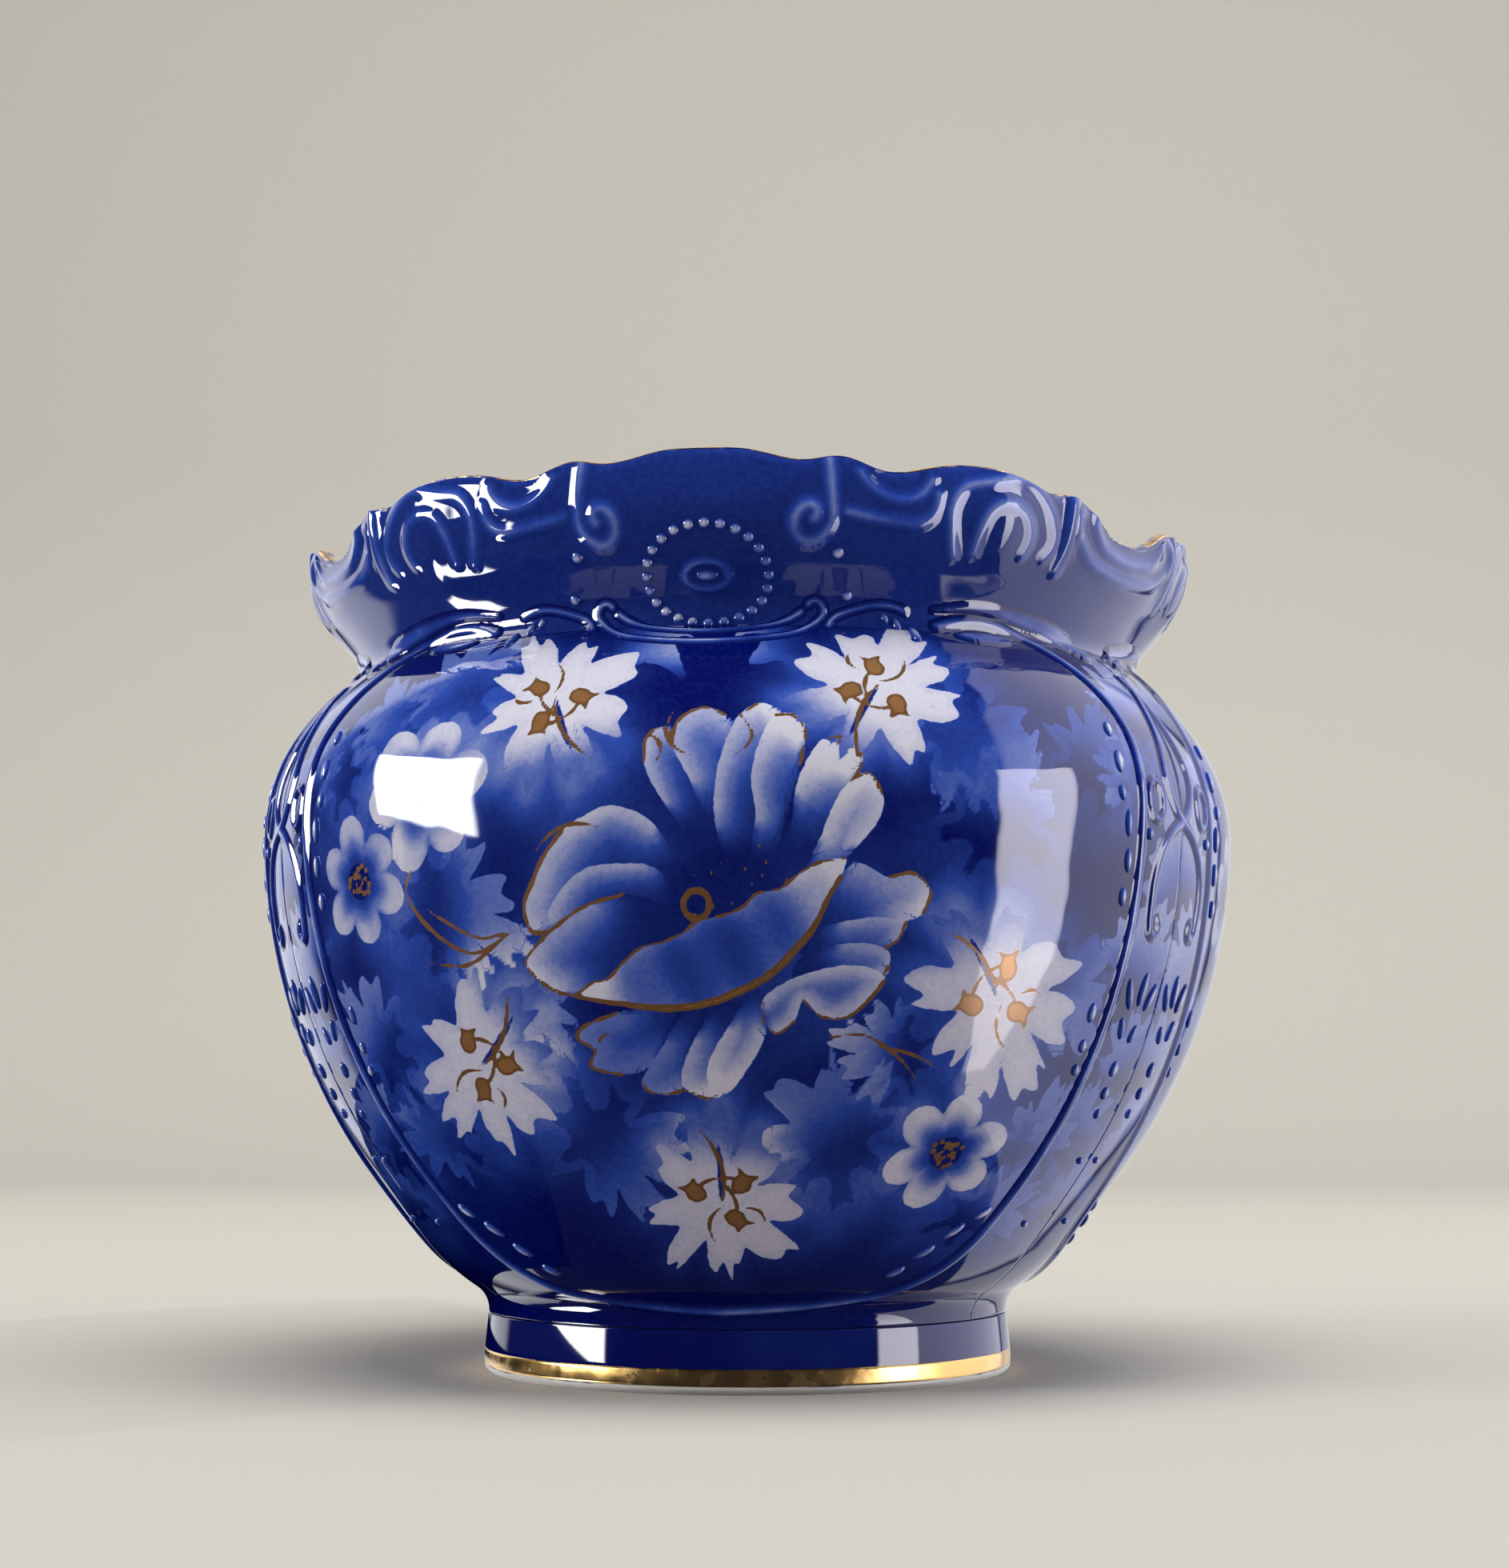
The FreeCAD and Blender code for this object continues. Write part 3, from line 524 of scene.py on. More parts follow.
# The blossom's folds from back to front, in millimetres from its eye: outline, the stretch of it
# that is pale, how pale, how far that reaches inwards, and the gilded stretches
BLOSSOM = (
    (((-6, -23), (-19, -25), (-27, -28), (-29, -31), (-25, -34), (-26, -38), (-19, -40), (-12, -38),
      (-8, -31)), (1, 7), 0.62, 6.5, ((1, 6, 0.7),)),
    (((-3, -23), (-9, -33), (-14, -41), (-13, -44), (-9, -45), (-5, -44), (-4, -38), (-1, -30), (2, -23)),
     (1, 5), 0.66, 4.6, ((2, 5, 0.6),)),
    (((4, -23), (-2, -32), (-5, -40), (-4, -44), (1, -46), (5, -43), (5, -35), (9, -25)),
     (1, 5), 0.82, 4.8, ((3, 5, 0.5),)),
    (((12, -20), (5, -30), (1, -38), (2, -45), (6, -44), (11, -37), (14, -31), (14, -24)),
     (1, 6), 0.96, 7.0, ()),
    (((24, -2), (30, 4), (35, 9), (39, 8), (43, 6), (49, 7), (53, 3), (51, -2), (46, -4), (36, -4), (26, -7)),
     (2, 8), 0.78, 8.0, ((4, 7, 0.7),)),
    (((24, -7), (33, -4), (40, -3), (47, -4), (45, -8), (42, -10), (35, -10), (24, -13)),
     (1, 4), 0.78, 4.8, ((3, 5, 0.6),)),
    (((22, -13), (33, -9), (42, -10), (43, -14), (40, -18), (32, -17), (22, -18)),
     (1, 4), 0.76, 4.8, ((3, 4, 0.6),)),
    (((14, -27), (14, -22), (19, -18), (27, -15), (36, -14), (42, -17), (38, -22), (33, -26), (27, -26),
      (23, -22), (21, -27), (17, -30)), (1, 11), 0.92, 5.4, ((5, 9, 0.6), (10, 13, 0.5))),
    (((0, 3), (-6, 12), (-10, 18), (-15, 21), (-21, 22), (-26, 20), (-31, 17), (-36, 11), (-39, 5), (-41, 0),
      (-39, -6), (-32, -5), (-20, -3), (-6, -2)), (2, 10), 0.92, 7.0, ((6, 11, 0.8),)),
    (((-4, 0), (-10, 8), (-18, 9), (-26, 8), (-32, 3), (-35, -3), (-30, -6), (-18, -3)),
     (1, 5), 0.86, 5.0, ()),
    (((-1, -5), (-9, 0), (-17, 2), (-25, 0), (-32, -4), (-38, -9), (-41, -13), (-38, -17), (-33, -20),
      (-27, -21), (-19, -18), (-8, -11)), (3, 8), 0.80, 6.6, ((2, 9, 0.7),)),
    (((4, 8), (-2, 15), (-8, 23), (-12, 31), (-12, 37), (-9, 40), (-5, 39), (-2, 34), (1, 25), (5, 14)),
     (2, 6), 0.86, 5.0, ((3, 6, 0.5),)),
    (((5, 8), (2, 18), (-2, 28), (-6, 36), (-5, 41), (-2, 44), (2, 45), (6, 43), (9, 38), (9, 28), (8, 14)),
     (2, 7), 0.90, 6.2, ((3, 7, 0.6),)),
    (((7, 9), (4, 18), (4, 27), (6, 36), (9, 43), (13, 46), (17, 45), (19, 40), (17, 30), (13, 14)),
     (1, 6), 0.92, 5.8, ((4, 5, 0.5),)),
    (((12, 10), (13, 19), (12, 28), (14, 37), (17, 43), (21, 43), (24, 39), (23, 31), (20, 20), (17, 11)),
     (1, 6), 0.92, 6.0, ((4, 7, 0.6),)),
    (((18, 10), (21, 18), (22, 26), (25, 33), (28, 37), (31, 36), (35, 37), (37, 32), (33, 24), (27, 14)),
     (2, 7), 0.92, 6.0, ((5, 8, 0.6),)),
    (((25, 8), (28, 16), (31, 23), (35, 28), (39, 29), (42, 24), (41, 19), (37, 14), (31, 9)),
     (1, 7), 1.0, 8.0, ((3, 5, 0.6),)),
)
# The cup of petals below the blossom's eye: the points of its lip, then those of its hem
CUP = ((-29, -21), (-25, -18), (-21, -17), (-17, -13), (-13, -10), (-9, -9), (-4, -7), (0, -4), (5, -3),
       (10, -1), (13, 2), (18, 3), (22, 6), (27, 9), (33, 10), (32, 6), (29, 1), (26, -5), (22, -10),
       (16, -16), (9, -20), (1, -23), (-8, -24), (-17, -23), (-24, -22))
CUP_LIP = 15


def blossom(sheet, centre):
    """The large open blossom in the middle of a panel."""
    u, v = places = sheet.local(centre)
    halo = np.hypot(u - 2, (v + 1) * 1.02) - 40
    sheet.glow(0.20 * np.exp(-np.clip(halo, 0, 90) / 5.0) * (0.5 + 0.5 * np.sin(2 * np.arctan2(v, u) + 2.6)))
    for row in BLOSSOM:
        fold(sheet, places, *row)
    # The dark eye, the gilt ring beside it and a spiral of gilt dots
    dark = ramp(np.hypot((u - 7) / 1.3, v - 3) - 8, 4.0, -2.5)
    sheet.under = sheet.under * (1 - 0.94 * dark)
    sheet.over = sheet.over * (1 - 0.94 * dark)
    sheet.gild(np.abs(np.hypot((u + 0.4) / 0.9, v + 0.4) - 3.2) - 0.75)
    for k in range(26):
        a, far = 2.4 * k, 4.5 + 0.33 * k
        sheet.gild(np.hypot((u - 7 - 1.1 * far * math.cos(a)) / 0.7, v - 4 - 0.8 * far * math.sin(a)) - 0.40)
    # The cup of petals under the eye, pale at its two ends and along its lip, gilt along its hem
    shape = away_from(places, CUP, True)
    ends = np.minimum(np.hypot(u + 26, v + 20), np.hypot(u - 30, v - 7))
    hem = away_from(places, CUP[CUP_LIP:] + CUP[:1])
    lip = away_from(places, CUP[:CUP_LIP])
    tone = 0.20 + 0.58 * np.exp(-(ends / 12.0) ** 1.5) + 0.20 * np.exp(-hem / 4.0) + 0.26 * np.exp(-lip / 2.4)
    sheet.paint(shape, tone - 0.06 * np.sin(0.45 * u + 0.2 * v))
    sheet.gild(hem - 0.55 - 0.35 * ramp(ends, 4, 22))
    sheet.gild(lip - 0.30)
    for start, end, bend in (
        ((-12, 39), (-10, 31), 0.3), ((-6, 44), (-1, 33), -0.3), ((9, 43), (8, 33), 0.35),
        ((29, 37), (34, 34), 0.4), ((-38, 12), (-22, 17), 0.2), ((-24, -34), (-20, -30), 0.3),
    ):
        line(sheet, places, start, end, bend, 0.9)


# Soft light patches of the ground: place (angle, height), half width, half height, and how light
GLOWS = (
    ((-26, 150), 15, 20, 0.26), ((-36, 100), 13, 22, 0.22), ((-20, 70), 16, 14, 0.22),
    ((22, 160), 16, 14, 0.20), ((34, 84), 14, 24, 0.22), ((18, 48), 18, 12, 0.20), ((-10, 44), 12, 10, 0.10),
)
# Leaves: place, size, angle of the tip, warp and tone
SHADOW_LEAVES = (
    ((-29.5, 166.0), 20, 95, 0.4, 0.58), ((-38.0, 158.0), 15, 120, 1.3, 0.52),
    ((27.5, 156.0), 20, -75, 3.1, 0.42), ((31.0, 132.0), 19, 60, 0.9, 0.44),
    ((-28.5, 114.0), 20, -25, 1.9, 0.52), ((-13.0, 61.0), 20, -70, 2.7, 0.42),
    ((16.0, 60.5), 20, 100, 3.9, 0.44), ((44.0, 60.0), 15, 45, 5.1, 0.50),
    ((41.5, 43.0), 16, 20, 4.4, 0.46), ((-38.0, 62.0), 16, 190, 0.2, 0.34),
    ((41.5, 95.0), 17, -40, 1.1, 0.50), ((22.0, 80.0), 14, 160, 2.0, 0.60),
    ((-44.5, 148.0), 15, 130, 3.3, 0.46), ((44.0, 148.0), 16, 60, 0.7, 0.30),
    ((-19.0, 92.0), 12, -60, 0.7, 0.40), ((-43.0, 82.0), 17, 120, 4.7, 0.62),
)
PALE_LEAVES = (
    ((-15.9, 161.0), 20.0, 118, 0.3, 1.0), ((19.0, 163.5), 20.5, 62, 1.6, 1.0),
    ((-27.0, 78.5), 20.5, 228, 2.9, 0.92), ((1.4, 47.5), 20.5, -86, 4.1, 0.95),
    ((33.0, 93.5), 22.5, -52, 5.3, 0.95),
)
# Leaves of the strips: angle, height, size, lean from the level, warp and tone
STRIP_LEAVES = (
    (56.0, 163.0, 18, 102, 0.5, 0.70), (51.0, 146.0, 14, 60, 2.2, 0.50), (60.0, 121.0, 18, 70, 1.4, 0.66),
    (54.0, 99.0, 18, 115, 2.6, 0.68), (57.5, 78.0, 14, 80, 4.2, 0.54), (51.0, 60.0, 16, 100, 3.5, 0.50),
    (59.0, 44.0, 13, 90, 0.9, 0.40),
)
# Gilt stems that the blossom covers in part, and those that lie over it: width, and places
LOWER_STEMS = (
    (1.1, ((-20.0, 108.0), (-25.5, 103.5), (-30.7, 109.5), (-33.5, 118.0), (-31.8, 125.5))),
    (0.9, ((-20.0, 108.0), (-24.5, 107.0), (-29.0, 111.5), (-31.5, 115.0))),
    (0.9, ((-21.0, 107.0), (-26.0, 101.0), (-31.5, 101.5))),
)
UPPER_STEMS = (
    (0.9, ((14.0, 84.0), (18.0, 84.5), (22.5, 79.0), (25.5, 73.0))),
    (0.8, ((19.5, 82.0), (23.5, 80.5), (27.5, 77.0))),
)
# Outlines of the two fields beside the panel's dark middle
HORNS = (
    ((-8, 10), (-5, 5), (-2.6, 2.0), (-6, 3), (-6.8, -0.4), (-5.6, -5), (-3.4, -14), (-7.5, -10),
     (-12, -7.5), (-17, -8), (-25, -12), (-25, 10)),
    ((8.5, 10), (7.2, 5.5), (6.4, 0.2), (8.8, 3.2), (12.4, 3.6), (12.8, 0), (10.4, -7.5), (14, -8),
     (18, -7), (26, -12), (26, 10)),
)


def horns(sheet):
    """The soft mid-blue fields beside the panel's dark middle, which end there in hooked horns."""
    places = sheet.local((0.0, 175.0))
    for outline in HORNS:
        strength = ramp(np.abs(places[0]), 25, 6) * ramp(places[1], -15, -3)
        ground = sheet.tone()
        sheet.paint(away_from(places, outline, True), ground + (0.70 - ground) * strength)


def panel_print(sheet):
    """The flower panel: shadow leaves, the blossom, pale gilt-budded leaves and small flowers."""
    for spot, wide, tall, tone in GLOWS:
        u, v = sheet.local(spot)
        sheet.glow(tone * np.exp(-((u / wide) ** 2 + (v / tall) ** 2)))
    for leaf in SHADOW_LEAVES:
        shadow_leaf(sheet, *leaf)
    horns(sheet)
    for width, places in LOWER_STEMS:
        sheet.stroke(places, width)
    blossom(sheet, (0.0, 113.6))
    for leaf in PALE_LEAVES:
        pale_leaf(sheet, *leaf)
    for width, places in UPPER_STEMS:
        sheet.stroke(places, width)
    small_flower(sheet, (-31.0, 141.5), 18.5, 12, 0.92, dots=9)
    small_flower(sheet, (-41.0, 121.5), 15.5, 40, 0.86)
    small_flower(sheet, (31.4, 58.0), 16.0, 20, 0.96)


def strip_print(sheet):
    """Leaves that run out of the panels' frames over the strips beside them."""
    for side in (-1, 1):
        for turn, z, size, lean, warp, tone in STRIP_LEAVES:
            shadow_leaf(sheet, (side * turn, z), size, 90 + side * (90 - lean), warp, tone)


# Node trees

# Ornament is kept where it rises by more than this share of its height
LEAST_LIFT = 0.0001


def add(tree, kind, inputs=None, **settings):
    """A node with its settings, and its inputs either linked from sockets or set to values."""
    node = tree.nodes.new(kind)
    for key, value in settings.items():
        setattr(node, key, value)
    for key, value in (inputs or {}).items():
        if isinstance(value, bpy.types.NodeSocket):
            tree.links.new(value, node.inputs[key])
        else:
            node.inputs[key].default_value = value
    return node


def new_tree(name, sockets):
    """A tree with its named inputs, and their sockets."""
    tree = bpy.data.node_groups.new(name, "GeometryNodeTree")
    tree.is_modifier = True
    tree.interface.new_socket("Geometry", in_out="OUTPUT", socket_type="NodeSocketGeometry")
    tree.interface.new_socket("Geometry", in_out="INPUT", socket_type="NodeSocketGeometry")
    for label, kind in sockets:
        tree.interface.new_socket(label, in_out="INPUT", socket_type="NodeSocket" + kind)
    return tree, tree.nodes.new("NodeGroupInput").outputs


def repeat_round(tree, geometry, units, finish):
    """Ends a tree: copies of the geometry round the pot's axis, made real, with their finish."""
    points = add(tree, "GeometryNodeMeshLine", {"Count": units, "Offset": (0, 0, 0)})
    index = add(tree, "GeometryNodeInputIndex")
    share = math_node(tree, "DIVIDE", index.outputs[0], units)
    euler = add(tree, "ShaderNodeCombineXYZ", {"Z": math_node(tree, "MULTIPLY", share, 2 * math.pi)})
    copies = add(tree, "GeometryNodeInstanceOnPoints",
                 {"Points": points.outputs[0], "Instance": geometry, "Rotation": euler.outputs[0]})
    real = add(tree, "GeometryNodeRealizeInstances", {0: copies.outputs[0]})
    smooth = add(tree, "GeometryNodeSetShadeSmooth", {"Geometry": real.outputs[0]})
    coat = add(tree, "GeometryNodeSetMaterial", {"Geometry": smooth.outputs[0], "Material": finish})
    out = tree.nodes.new("NodeGroupOutput")
    tree.links.new(coat.outputs[0], out.inputs[0])


def named(tree, name, kind="FLOAT"):
    """A mesh attribute, in a geometry tree."""
    return add(tree, "GeometryNodeInputNamedAttribute", {"Name": name}, data_type=kind).outputs["Attribute"]


def math_node(tree, operation, a, b=0.0, c=0.0):
    return add(tree, "ShaderNodeMath", {0: a, 1: b, 2: c}, operation=operation).outputs[0]


def relief_tree():
    """Raises the wall's own surface along strokes, rounded as under glaze, and keeps that only."""
    tree, given = new_tree("Relief under glaze", (
        ("Strokes", "Object"), ("Relief", "Float"), ("Softness", "Float"), ("Sink", "Float"),
        ("Units", "Int"), ("Finish", "Material")))
    strokes = add(tree, "GeometryNodeObjectInfo", {"Object": given["Strokes"]}).outputs["Geometry"]
    near = add(tree, "GeometryNodeProximity", {0: strokes}, target_element="EDGES")
    nearest = add(tree, "GeometryNodeSampleNearest", {"Geometry": strokes}, domain="POINT")
    half = add(tree, "GeometryNodeSampleIndex",
               {"Geometry": strokes, "Value": named(tree, "half"), "Index": nearest.outputs[0]},
               data_type="FLOAT", domain="POINT").outputs[0]
    inner = math_node(tree, "SUBTRACT", half, given["Softness"])
    outer = math_node(tree, "ADD", half, given["Softness"])
    lift = add(tree, "ShaderNodeMapRange", {
        "Value": near.outputs["Distance"], "From Min": inner, "From Max": outer,
        "To Min": 1.0, "To Max": 0.0}, interpolation_type="SMOOTHERSTEP")
    stored = add(tree, "GeometryNodeStoreNamedAttribute", {
        "Geometry": given["Geometry"], "Name": "lift", "Value": lift.outputs[0]},
        data_type="FLOAT", domain="POINT")
    flat = add(tree, "FunctionNodeCompare", {"A": named(tree, "lift"), "B": LEAST_LIFT},
               data_type="FLOAT", operation="LESS_THAN")
    kept = add(tree, "GeometryNodeDeleteGeometry",
               {"Geometry": stored.outputs[0], "Selection": flat.outputs[0]}, domain="POINT")
    rise = math_node(tree, "MULTIPLY", named(tree, "lift"), given["Relief"])
    rise = math_node(tree, "SUBTRACT", rise, given["Sink"])
    shift = add(tree, "ShaderNodeVectorMath", {0: named(tree, "out", "FLOAT_VECTOR"), "Scale": rise},
                operation="SCALE")
    moved = add(tree, "GeometryNodeSetPosition",
                {"Geometry": kept.outputs[0], "Offset": shift.outputs[0]})
    repeat_round(tree, moved.outputs[0], given["Units"], given["Finish"])
    return tree


def bead_tree():
    """Seats a flattened bead on every point, and repeats them round the pot."""
    tree, given = new_tree("Beads on the wall", (
        ("Fineness", "Int"), ("Units", "Int"), ("Finish", "Material")))
    ball = add(tree, "GeometryNodeMeshIcoSphere", {"Radius": 1.0, "Subdivisions": given["Fineness"]})
    spot = add(tree, "GeometryNodeInputPosition")
    up = add(tree, "ShaderNodeSeparateXYZ", {0: spot.outputs[0]}).outputs["Z"]
    marked = add(tree, "GeometryNodeStoreNamedAttribute", {
        "Geometry": ball.outputs[0], "Name": "lift", "Value": math_node(tree, "MAXIMUM", up)},
        data_type="FLOAT", domain="POINT")
    beads = add(tree, "GeometryNodeInstanceOnPoints", {
        "Points": given["Geometry"], "Instance": marked.outputs[0],
        "Rotation": named(tree, "aim", "FLOAT_VECTOR"), "Scale": named(tree, "size", "FLOAT_VECTOR")})
    real = add(tree, "GeometryNodeRealizeInstances", {0: beads.outputs[0]})
    repeat_round(tree, real.outputs[0], given["Units"], given["Finish"])
    return tree


def grown(piece, tree, values):
    """The piece's mesh as the node tree makes it from the given inputs, as a plain mesh."""
    mod = piece.modifiers.new("Shape", "NODES")
    mod.node_group = tree
    ids = {s.name: s.identifier for s in tree.interface.items_tree if s.in_out == "INPUT"}
    for label, value in values.items():
        mod[ids[label]] = value
    graph = bpy.context.evaluated_depsgraph_get()
    mesh = bpy.data.meshes.new_from_object(piece.evaluated_get(graph))
    mesh.name = piece.name
    piece.modifiers.clear()
    old, piece.data = piece.data, mesh
    bpy.data.meshes.remove(old)
    return piece


# Materials

# Colours of the inside glaze, its specks, and the bare body of the foot
INSIDE_COOL, INSIDE_WARM, SPECK = (0.66, 0.68, 0.70), (0.74, 0.73, 0.69), (0.42, 0.45, 0.56)
BARE_BODY = (0.70, 0.69, 0.66)


def new_material(name):
    """A material with its node tree and its one shader."""
    material = bpy.data.materials.new(name)
    material.use_nodes = True
    tree = material.node_tree
    tree.nodes.clear()
    shader = tree.nodes.new("ShaderNodeBsdfPrincipled")
    out = tree.nodes.new("ShaderNodeOutputMaterial")
    tree.links.new(shader.outputs[0], out.inputs["Surface"])
    return material, tree, shader


def value_of(tree, name):
    """A mesh attribute, in a material."""
    return add(tree, "ShaderNodeAttribute", attribute_name=name).outputs["Fac"]


def noise(tree, scale, detail=2.0, rough=0.5):
    place = add(tree, "ShaderNodeTexCoord").outputs["Object"]
    values = {"Vector": place, "Scale": scale, "Detail": detail, "Roughness": rough}
    return add(tree, "ShaderNodeTexNoise", values).outputs["Fac"]


def mapped(tree, value, low, high, to_low=0.0, to_high=1.0, kind="SMOOTHSTEP"):
    """The value eased from low..high to to_low..to_high."""
    return add(tree, "ShaderNodeMapRange", {
        "Value": value, "From Min": low, "From Max": high, "To Min": to_low, "To Max": to_high},
        interpolation_type=kind).outputs[0]


def rgba(colour):
    return tuple(colour) + (1,)


def dimmed(colour, share):
    """A share of a colour's brightness."""
    return tuple(share * c for c in colour)


def mixed(tree, share, first, second):
    """A colour between two, each a socket or red, green and blue."""
    first, second = (c if isinstance(c, bpy.types.NodeSocket) else rgba(c) for c in (first, second))
    return add(tree, "ShaderNodeMix", {0: share, 6: first, 7: second}, data_type="RGBA").outputs[2]


def blue_ramp(tree, tone, s):
    """From the deep ground through mid blue to the pale petals."""
    node = add(tree, "ShaderNodeValToRGB", {"Fac": tone})
    stops = node.color_ramp.elements
    deep, mid, soft, pale = (rgba(c) for c in (s.deep, s.mid, s.soft, s.pale))
    royal, light = (tuple(a + (b - a) * share for a, b in zip(low, high))
                    for low, high, share in ((deep, mid, 0.32), (soft, pale, 0.45)))
    stops[0].position, stops[0].color = 0.0, deep
    stops[1].position, stops[1].color = 1.0, pale
    for position, colour in ((0.18, royal), (0.40, mid), (0.62, soft), (0.80, light)):
        stop = stops.new(position)
        stop.color = colour
    return node.outputs["Color"]


def wavy(tree, shader, scale, distance):
    """Slight unevenness of the glaze in its reflections."""
    bump = add(tree, "ShaderNodeBump", {"Strength": 1.0, "Distance": distance, "Height": noise(tree, scale)})
    tree.links.new(bump.outputs[0], shader.inputs["Normal"])


def ragged(tree, name, scale, low, high):
    """A distance from the print, a little uneven as ink and gilding are."""
    return math_node(tree, "ADD", value_of(tree, name), mapped(tree, noise(tree, scale), 0.3, 0.7, low, high))


def print_tone(tree):
    """The print's two tones on either side of its nearest edge, with fine specks."""
    inside = mapped(tree, ragged(tree, "edge", 500.0, -0.12, 0.12), -0.16, 0.20, 1.0, 0.0)
    tones = {0: inside, 2: value_of(tree, "under"), 3: value_of(tree, "over")}
    flat = add(tree, "ShaderNodeMix", tones).outputs[0]
    speck = mapped(tree, noise(tree, 900.0, 1.0), 0.62, 0.74, 0.0, -0.07)
    return math_node(tree, "MULTIPLY_ADD", speck, flat, flat)


def gilded(tree, shader, colour, s):
    """The colour with the print's gilding over it, which also sets how the surface shines."""
    gold = ragged(tree, "gold", 420.0, -0.10, 0.14)
    metal = mapped(tree, gold, -0.05, 0.13, 1.0, 0.0)
    narrow = math_node(tree, "ADD", mapped(tree, gold, -0.9, -0.3, 0.0, 0.7), noise(tree, 60.0))
    gilt = mixed(tree, math_node(tree, "MINIMUM", narrow, 1.0), s.gilt, dimmed(s.gilt, 0.45))
    tree.links.new(math_node(tree, "MULTIPLY", metal, 0.25), shader.inputs["Metallic"])
    tree.links.new(math_node(tree, "MULTIPLY_ADD", metal, 0.20, s.gloss), shader.inputs["Roughness"])
    return mixed(tree, metal, colour, gilt)


def glaze_material(name, printed=False, raised=0.0, thin=0.0):
    """Cobalt glaze: printed with the flowers, or paler by raised on crests, and by thin all over."""
    s = settings()
    material, tree, shader = new_material(name)
    cloud = mapped(tree, noise(tree, 14.0, 3.0), 0.38, 0.72, thin, thin + 0.07)
    grain = mapped(tree, noise(tree, 700.0), 0.35, 0.65, -0.02, 0.02)
    tone = math_node(tree, "ADD", cloud, grain)
    shader.inputs["Roughness"].default_value = s.gloss
    if raised:
        crest = math_node(tree, "POWER", value_of(tree, "lift"), 2.2)
        patchy = mapped(tree, noise(tree, 55.0), 0.35, 0.65, 0.24 * raised, 0.56 * raised)
        tone = math_node(tree, "MULTIPLY_ADD", crest, patchy, tone)
    if printed:
        tone = math_node(tree, "ADD", tone, print_tone(tree))
    colour = blue_ramp(tree, tone, s)
    if printed:
        colour = gilded(tree, shader, colour, s)
    tree.links.new(colour, shader.inputs["Base Color"])
    wavy(tree, shader, 38.0, 0.35 * MM)
    return material


def inside_material(name):
    """Pale glaze with a faint tint and fine specks."""
    material, tree, shader = new_material(name)
    tint = mixed(tree, noise(tree, 14.0, 3.0), INSIDE_COOL, INSIDE_WARM)
    specks = mapped(tree, noise(tree, 500.0, 1.0), 0.68, 0.76)
    tree.links.new(mixed(tree, specks, tint, SPECK), shader.inputs["Base Color"])
    shader.inputs["Roughness"].default_value = 0.12
    wavy(tree, shader, 30.0, 0.3 * MM)
    return material


def gilt_material(name, wear):
    """Burnished gilding, rubbed through to the glaze in more places the higher its wear."""
    s = settings()
    material, tree, shader = new_material(name)
    whole = mapped(tree, noise(tree, 130.0, 4.0, 0.65), wear - 0.06, wear + 0.06)
    shade = mixed(tree, noise(tree, 90.0, 3.0), s.band, dimmed(s.band, 0.6))
    tree.links.new(mixed(tree, whole, s.deep, shade), shader.inputs["Base Color"])
    tree.links.new(whole, shader.inputs["Metallic"])
    tree.links.new(mapped(tree, noise(tree, 200.0), 0.3, 0.7, 0.16, 0.30), shader.inputs["Roughness"])
    wavy(tree, shader, 120.0, 0.2 * MM)
    return material


# The foot's glaze starts between these heights and, on its underside, between these radii
BARE_H, BARE_R = (1.9, 2.3), (62.0, 62.4)


def foot_material(name):
    """Glaze down to the gilt band, and pale bare body along the standing edge."""
    s = settings()
    material, tree, shader = new_material(name)
    place = add(tree, "ShaderNodeTexCoord").outputs["Object"]
    height = add(tree, "ShaderNodeSeparateXYZ", {0: place}).outputs["Z"]
    uneven = mapped(tree, noise(tree, 90.0), 0.3, 0.7, -0.4 * MM, 0.4 * MM)
    level = math_node(tree, "ADD", height, uneven)
    low = mapped(tree, level, BARE_H[0] * MM, BARE_H[1] * MM, 1.0, 0.0)
    across = add(tree, "ShaderNodeVectorMath", {0: place, 1: (1, 1, 0)}, operation="MULTIPLY")
    far = add(tree, "ShaderNodeVectorMath", {0: across.outputs[0]}, operation="LENGTH").outputs["Value"]
    within = mapped(tree, far, BARE_R[0] * MM, BARE_R[1] * MM, 1.0, 0.0)
    bare = math_node(tree, "MAXIMUM", low, within)
    blue = blue_ramp(tree, mapped(tree, noise(tree, 20.0, 3.0), 0.35, 0.70, 0.0, 0.12), s)
    tree.links.new(mixed(tree, bare, blue, BARE_BODY), shader.inputs["Base Color"])
    tree.links.new(mapped(tree, bare, 0.0, 1.0, s.gloss, 0.45, "LINEAR"), shader.inputs["Roughness"])
    return material


# Settings

def colour_setting(name, description, default):
    return FloatVectorProperty(name=name, description=description, subtype="COLOR", size=3,
                               min=0, max=1, default=default)


def length_setting(name, description, default):
    return FloatProperty(name=name, description=description, subtype="DISTANCE", unit="LENGTH",
                         min=0, default=default)


def power_setting(name, description, default):
    return FloatProperty(name=name, description=description, subtype="POWER", min=0, default=default)


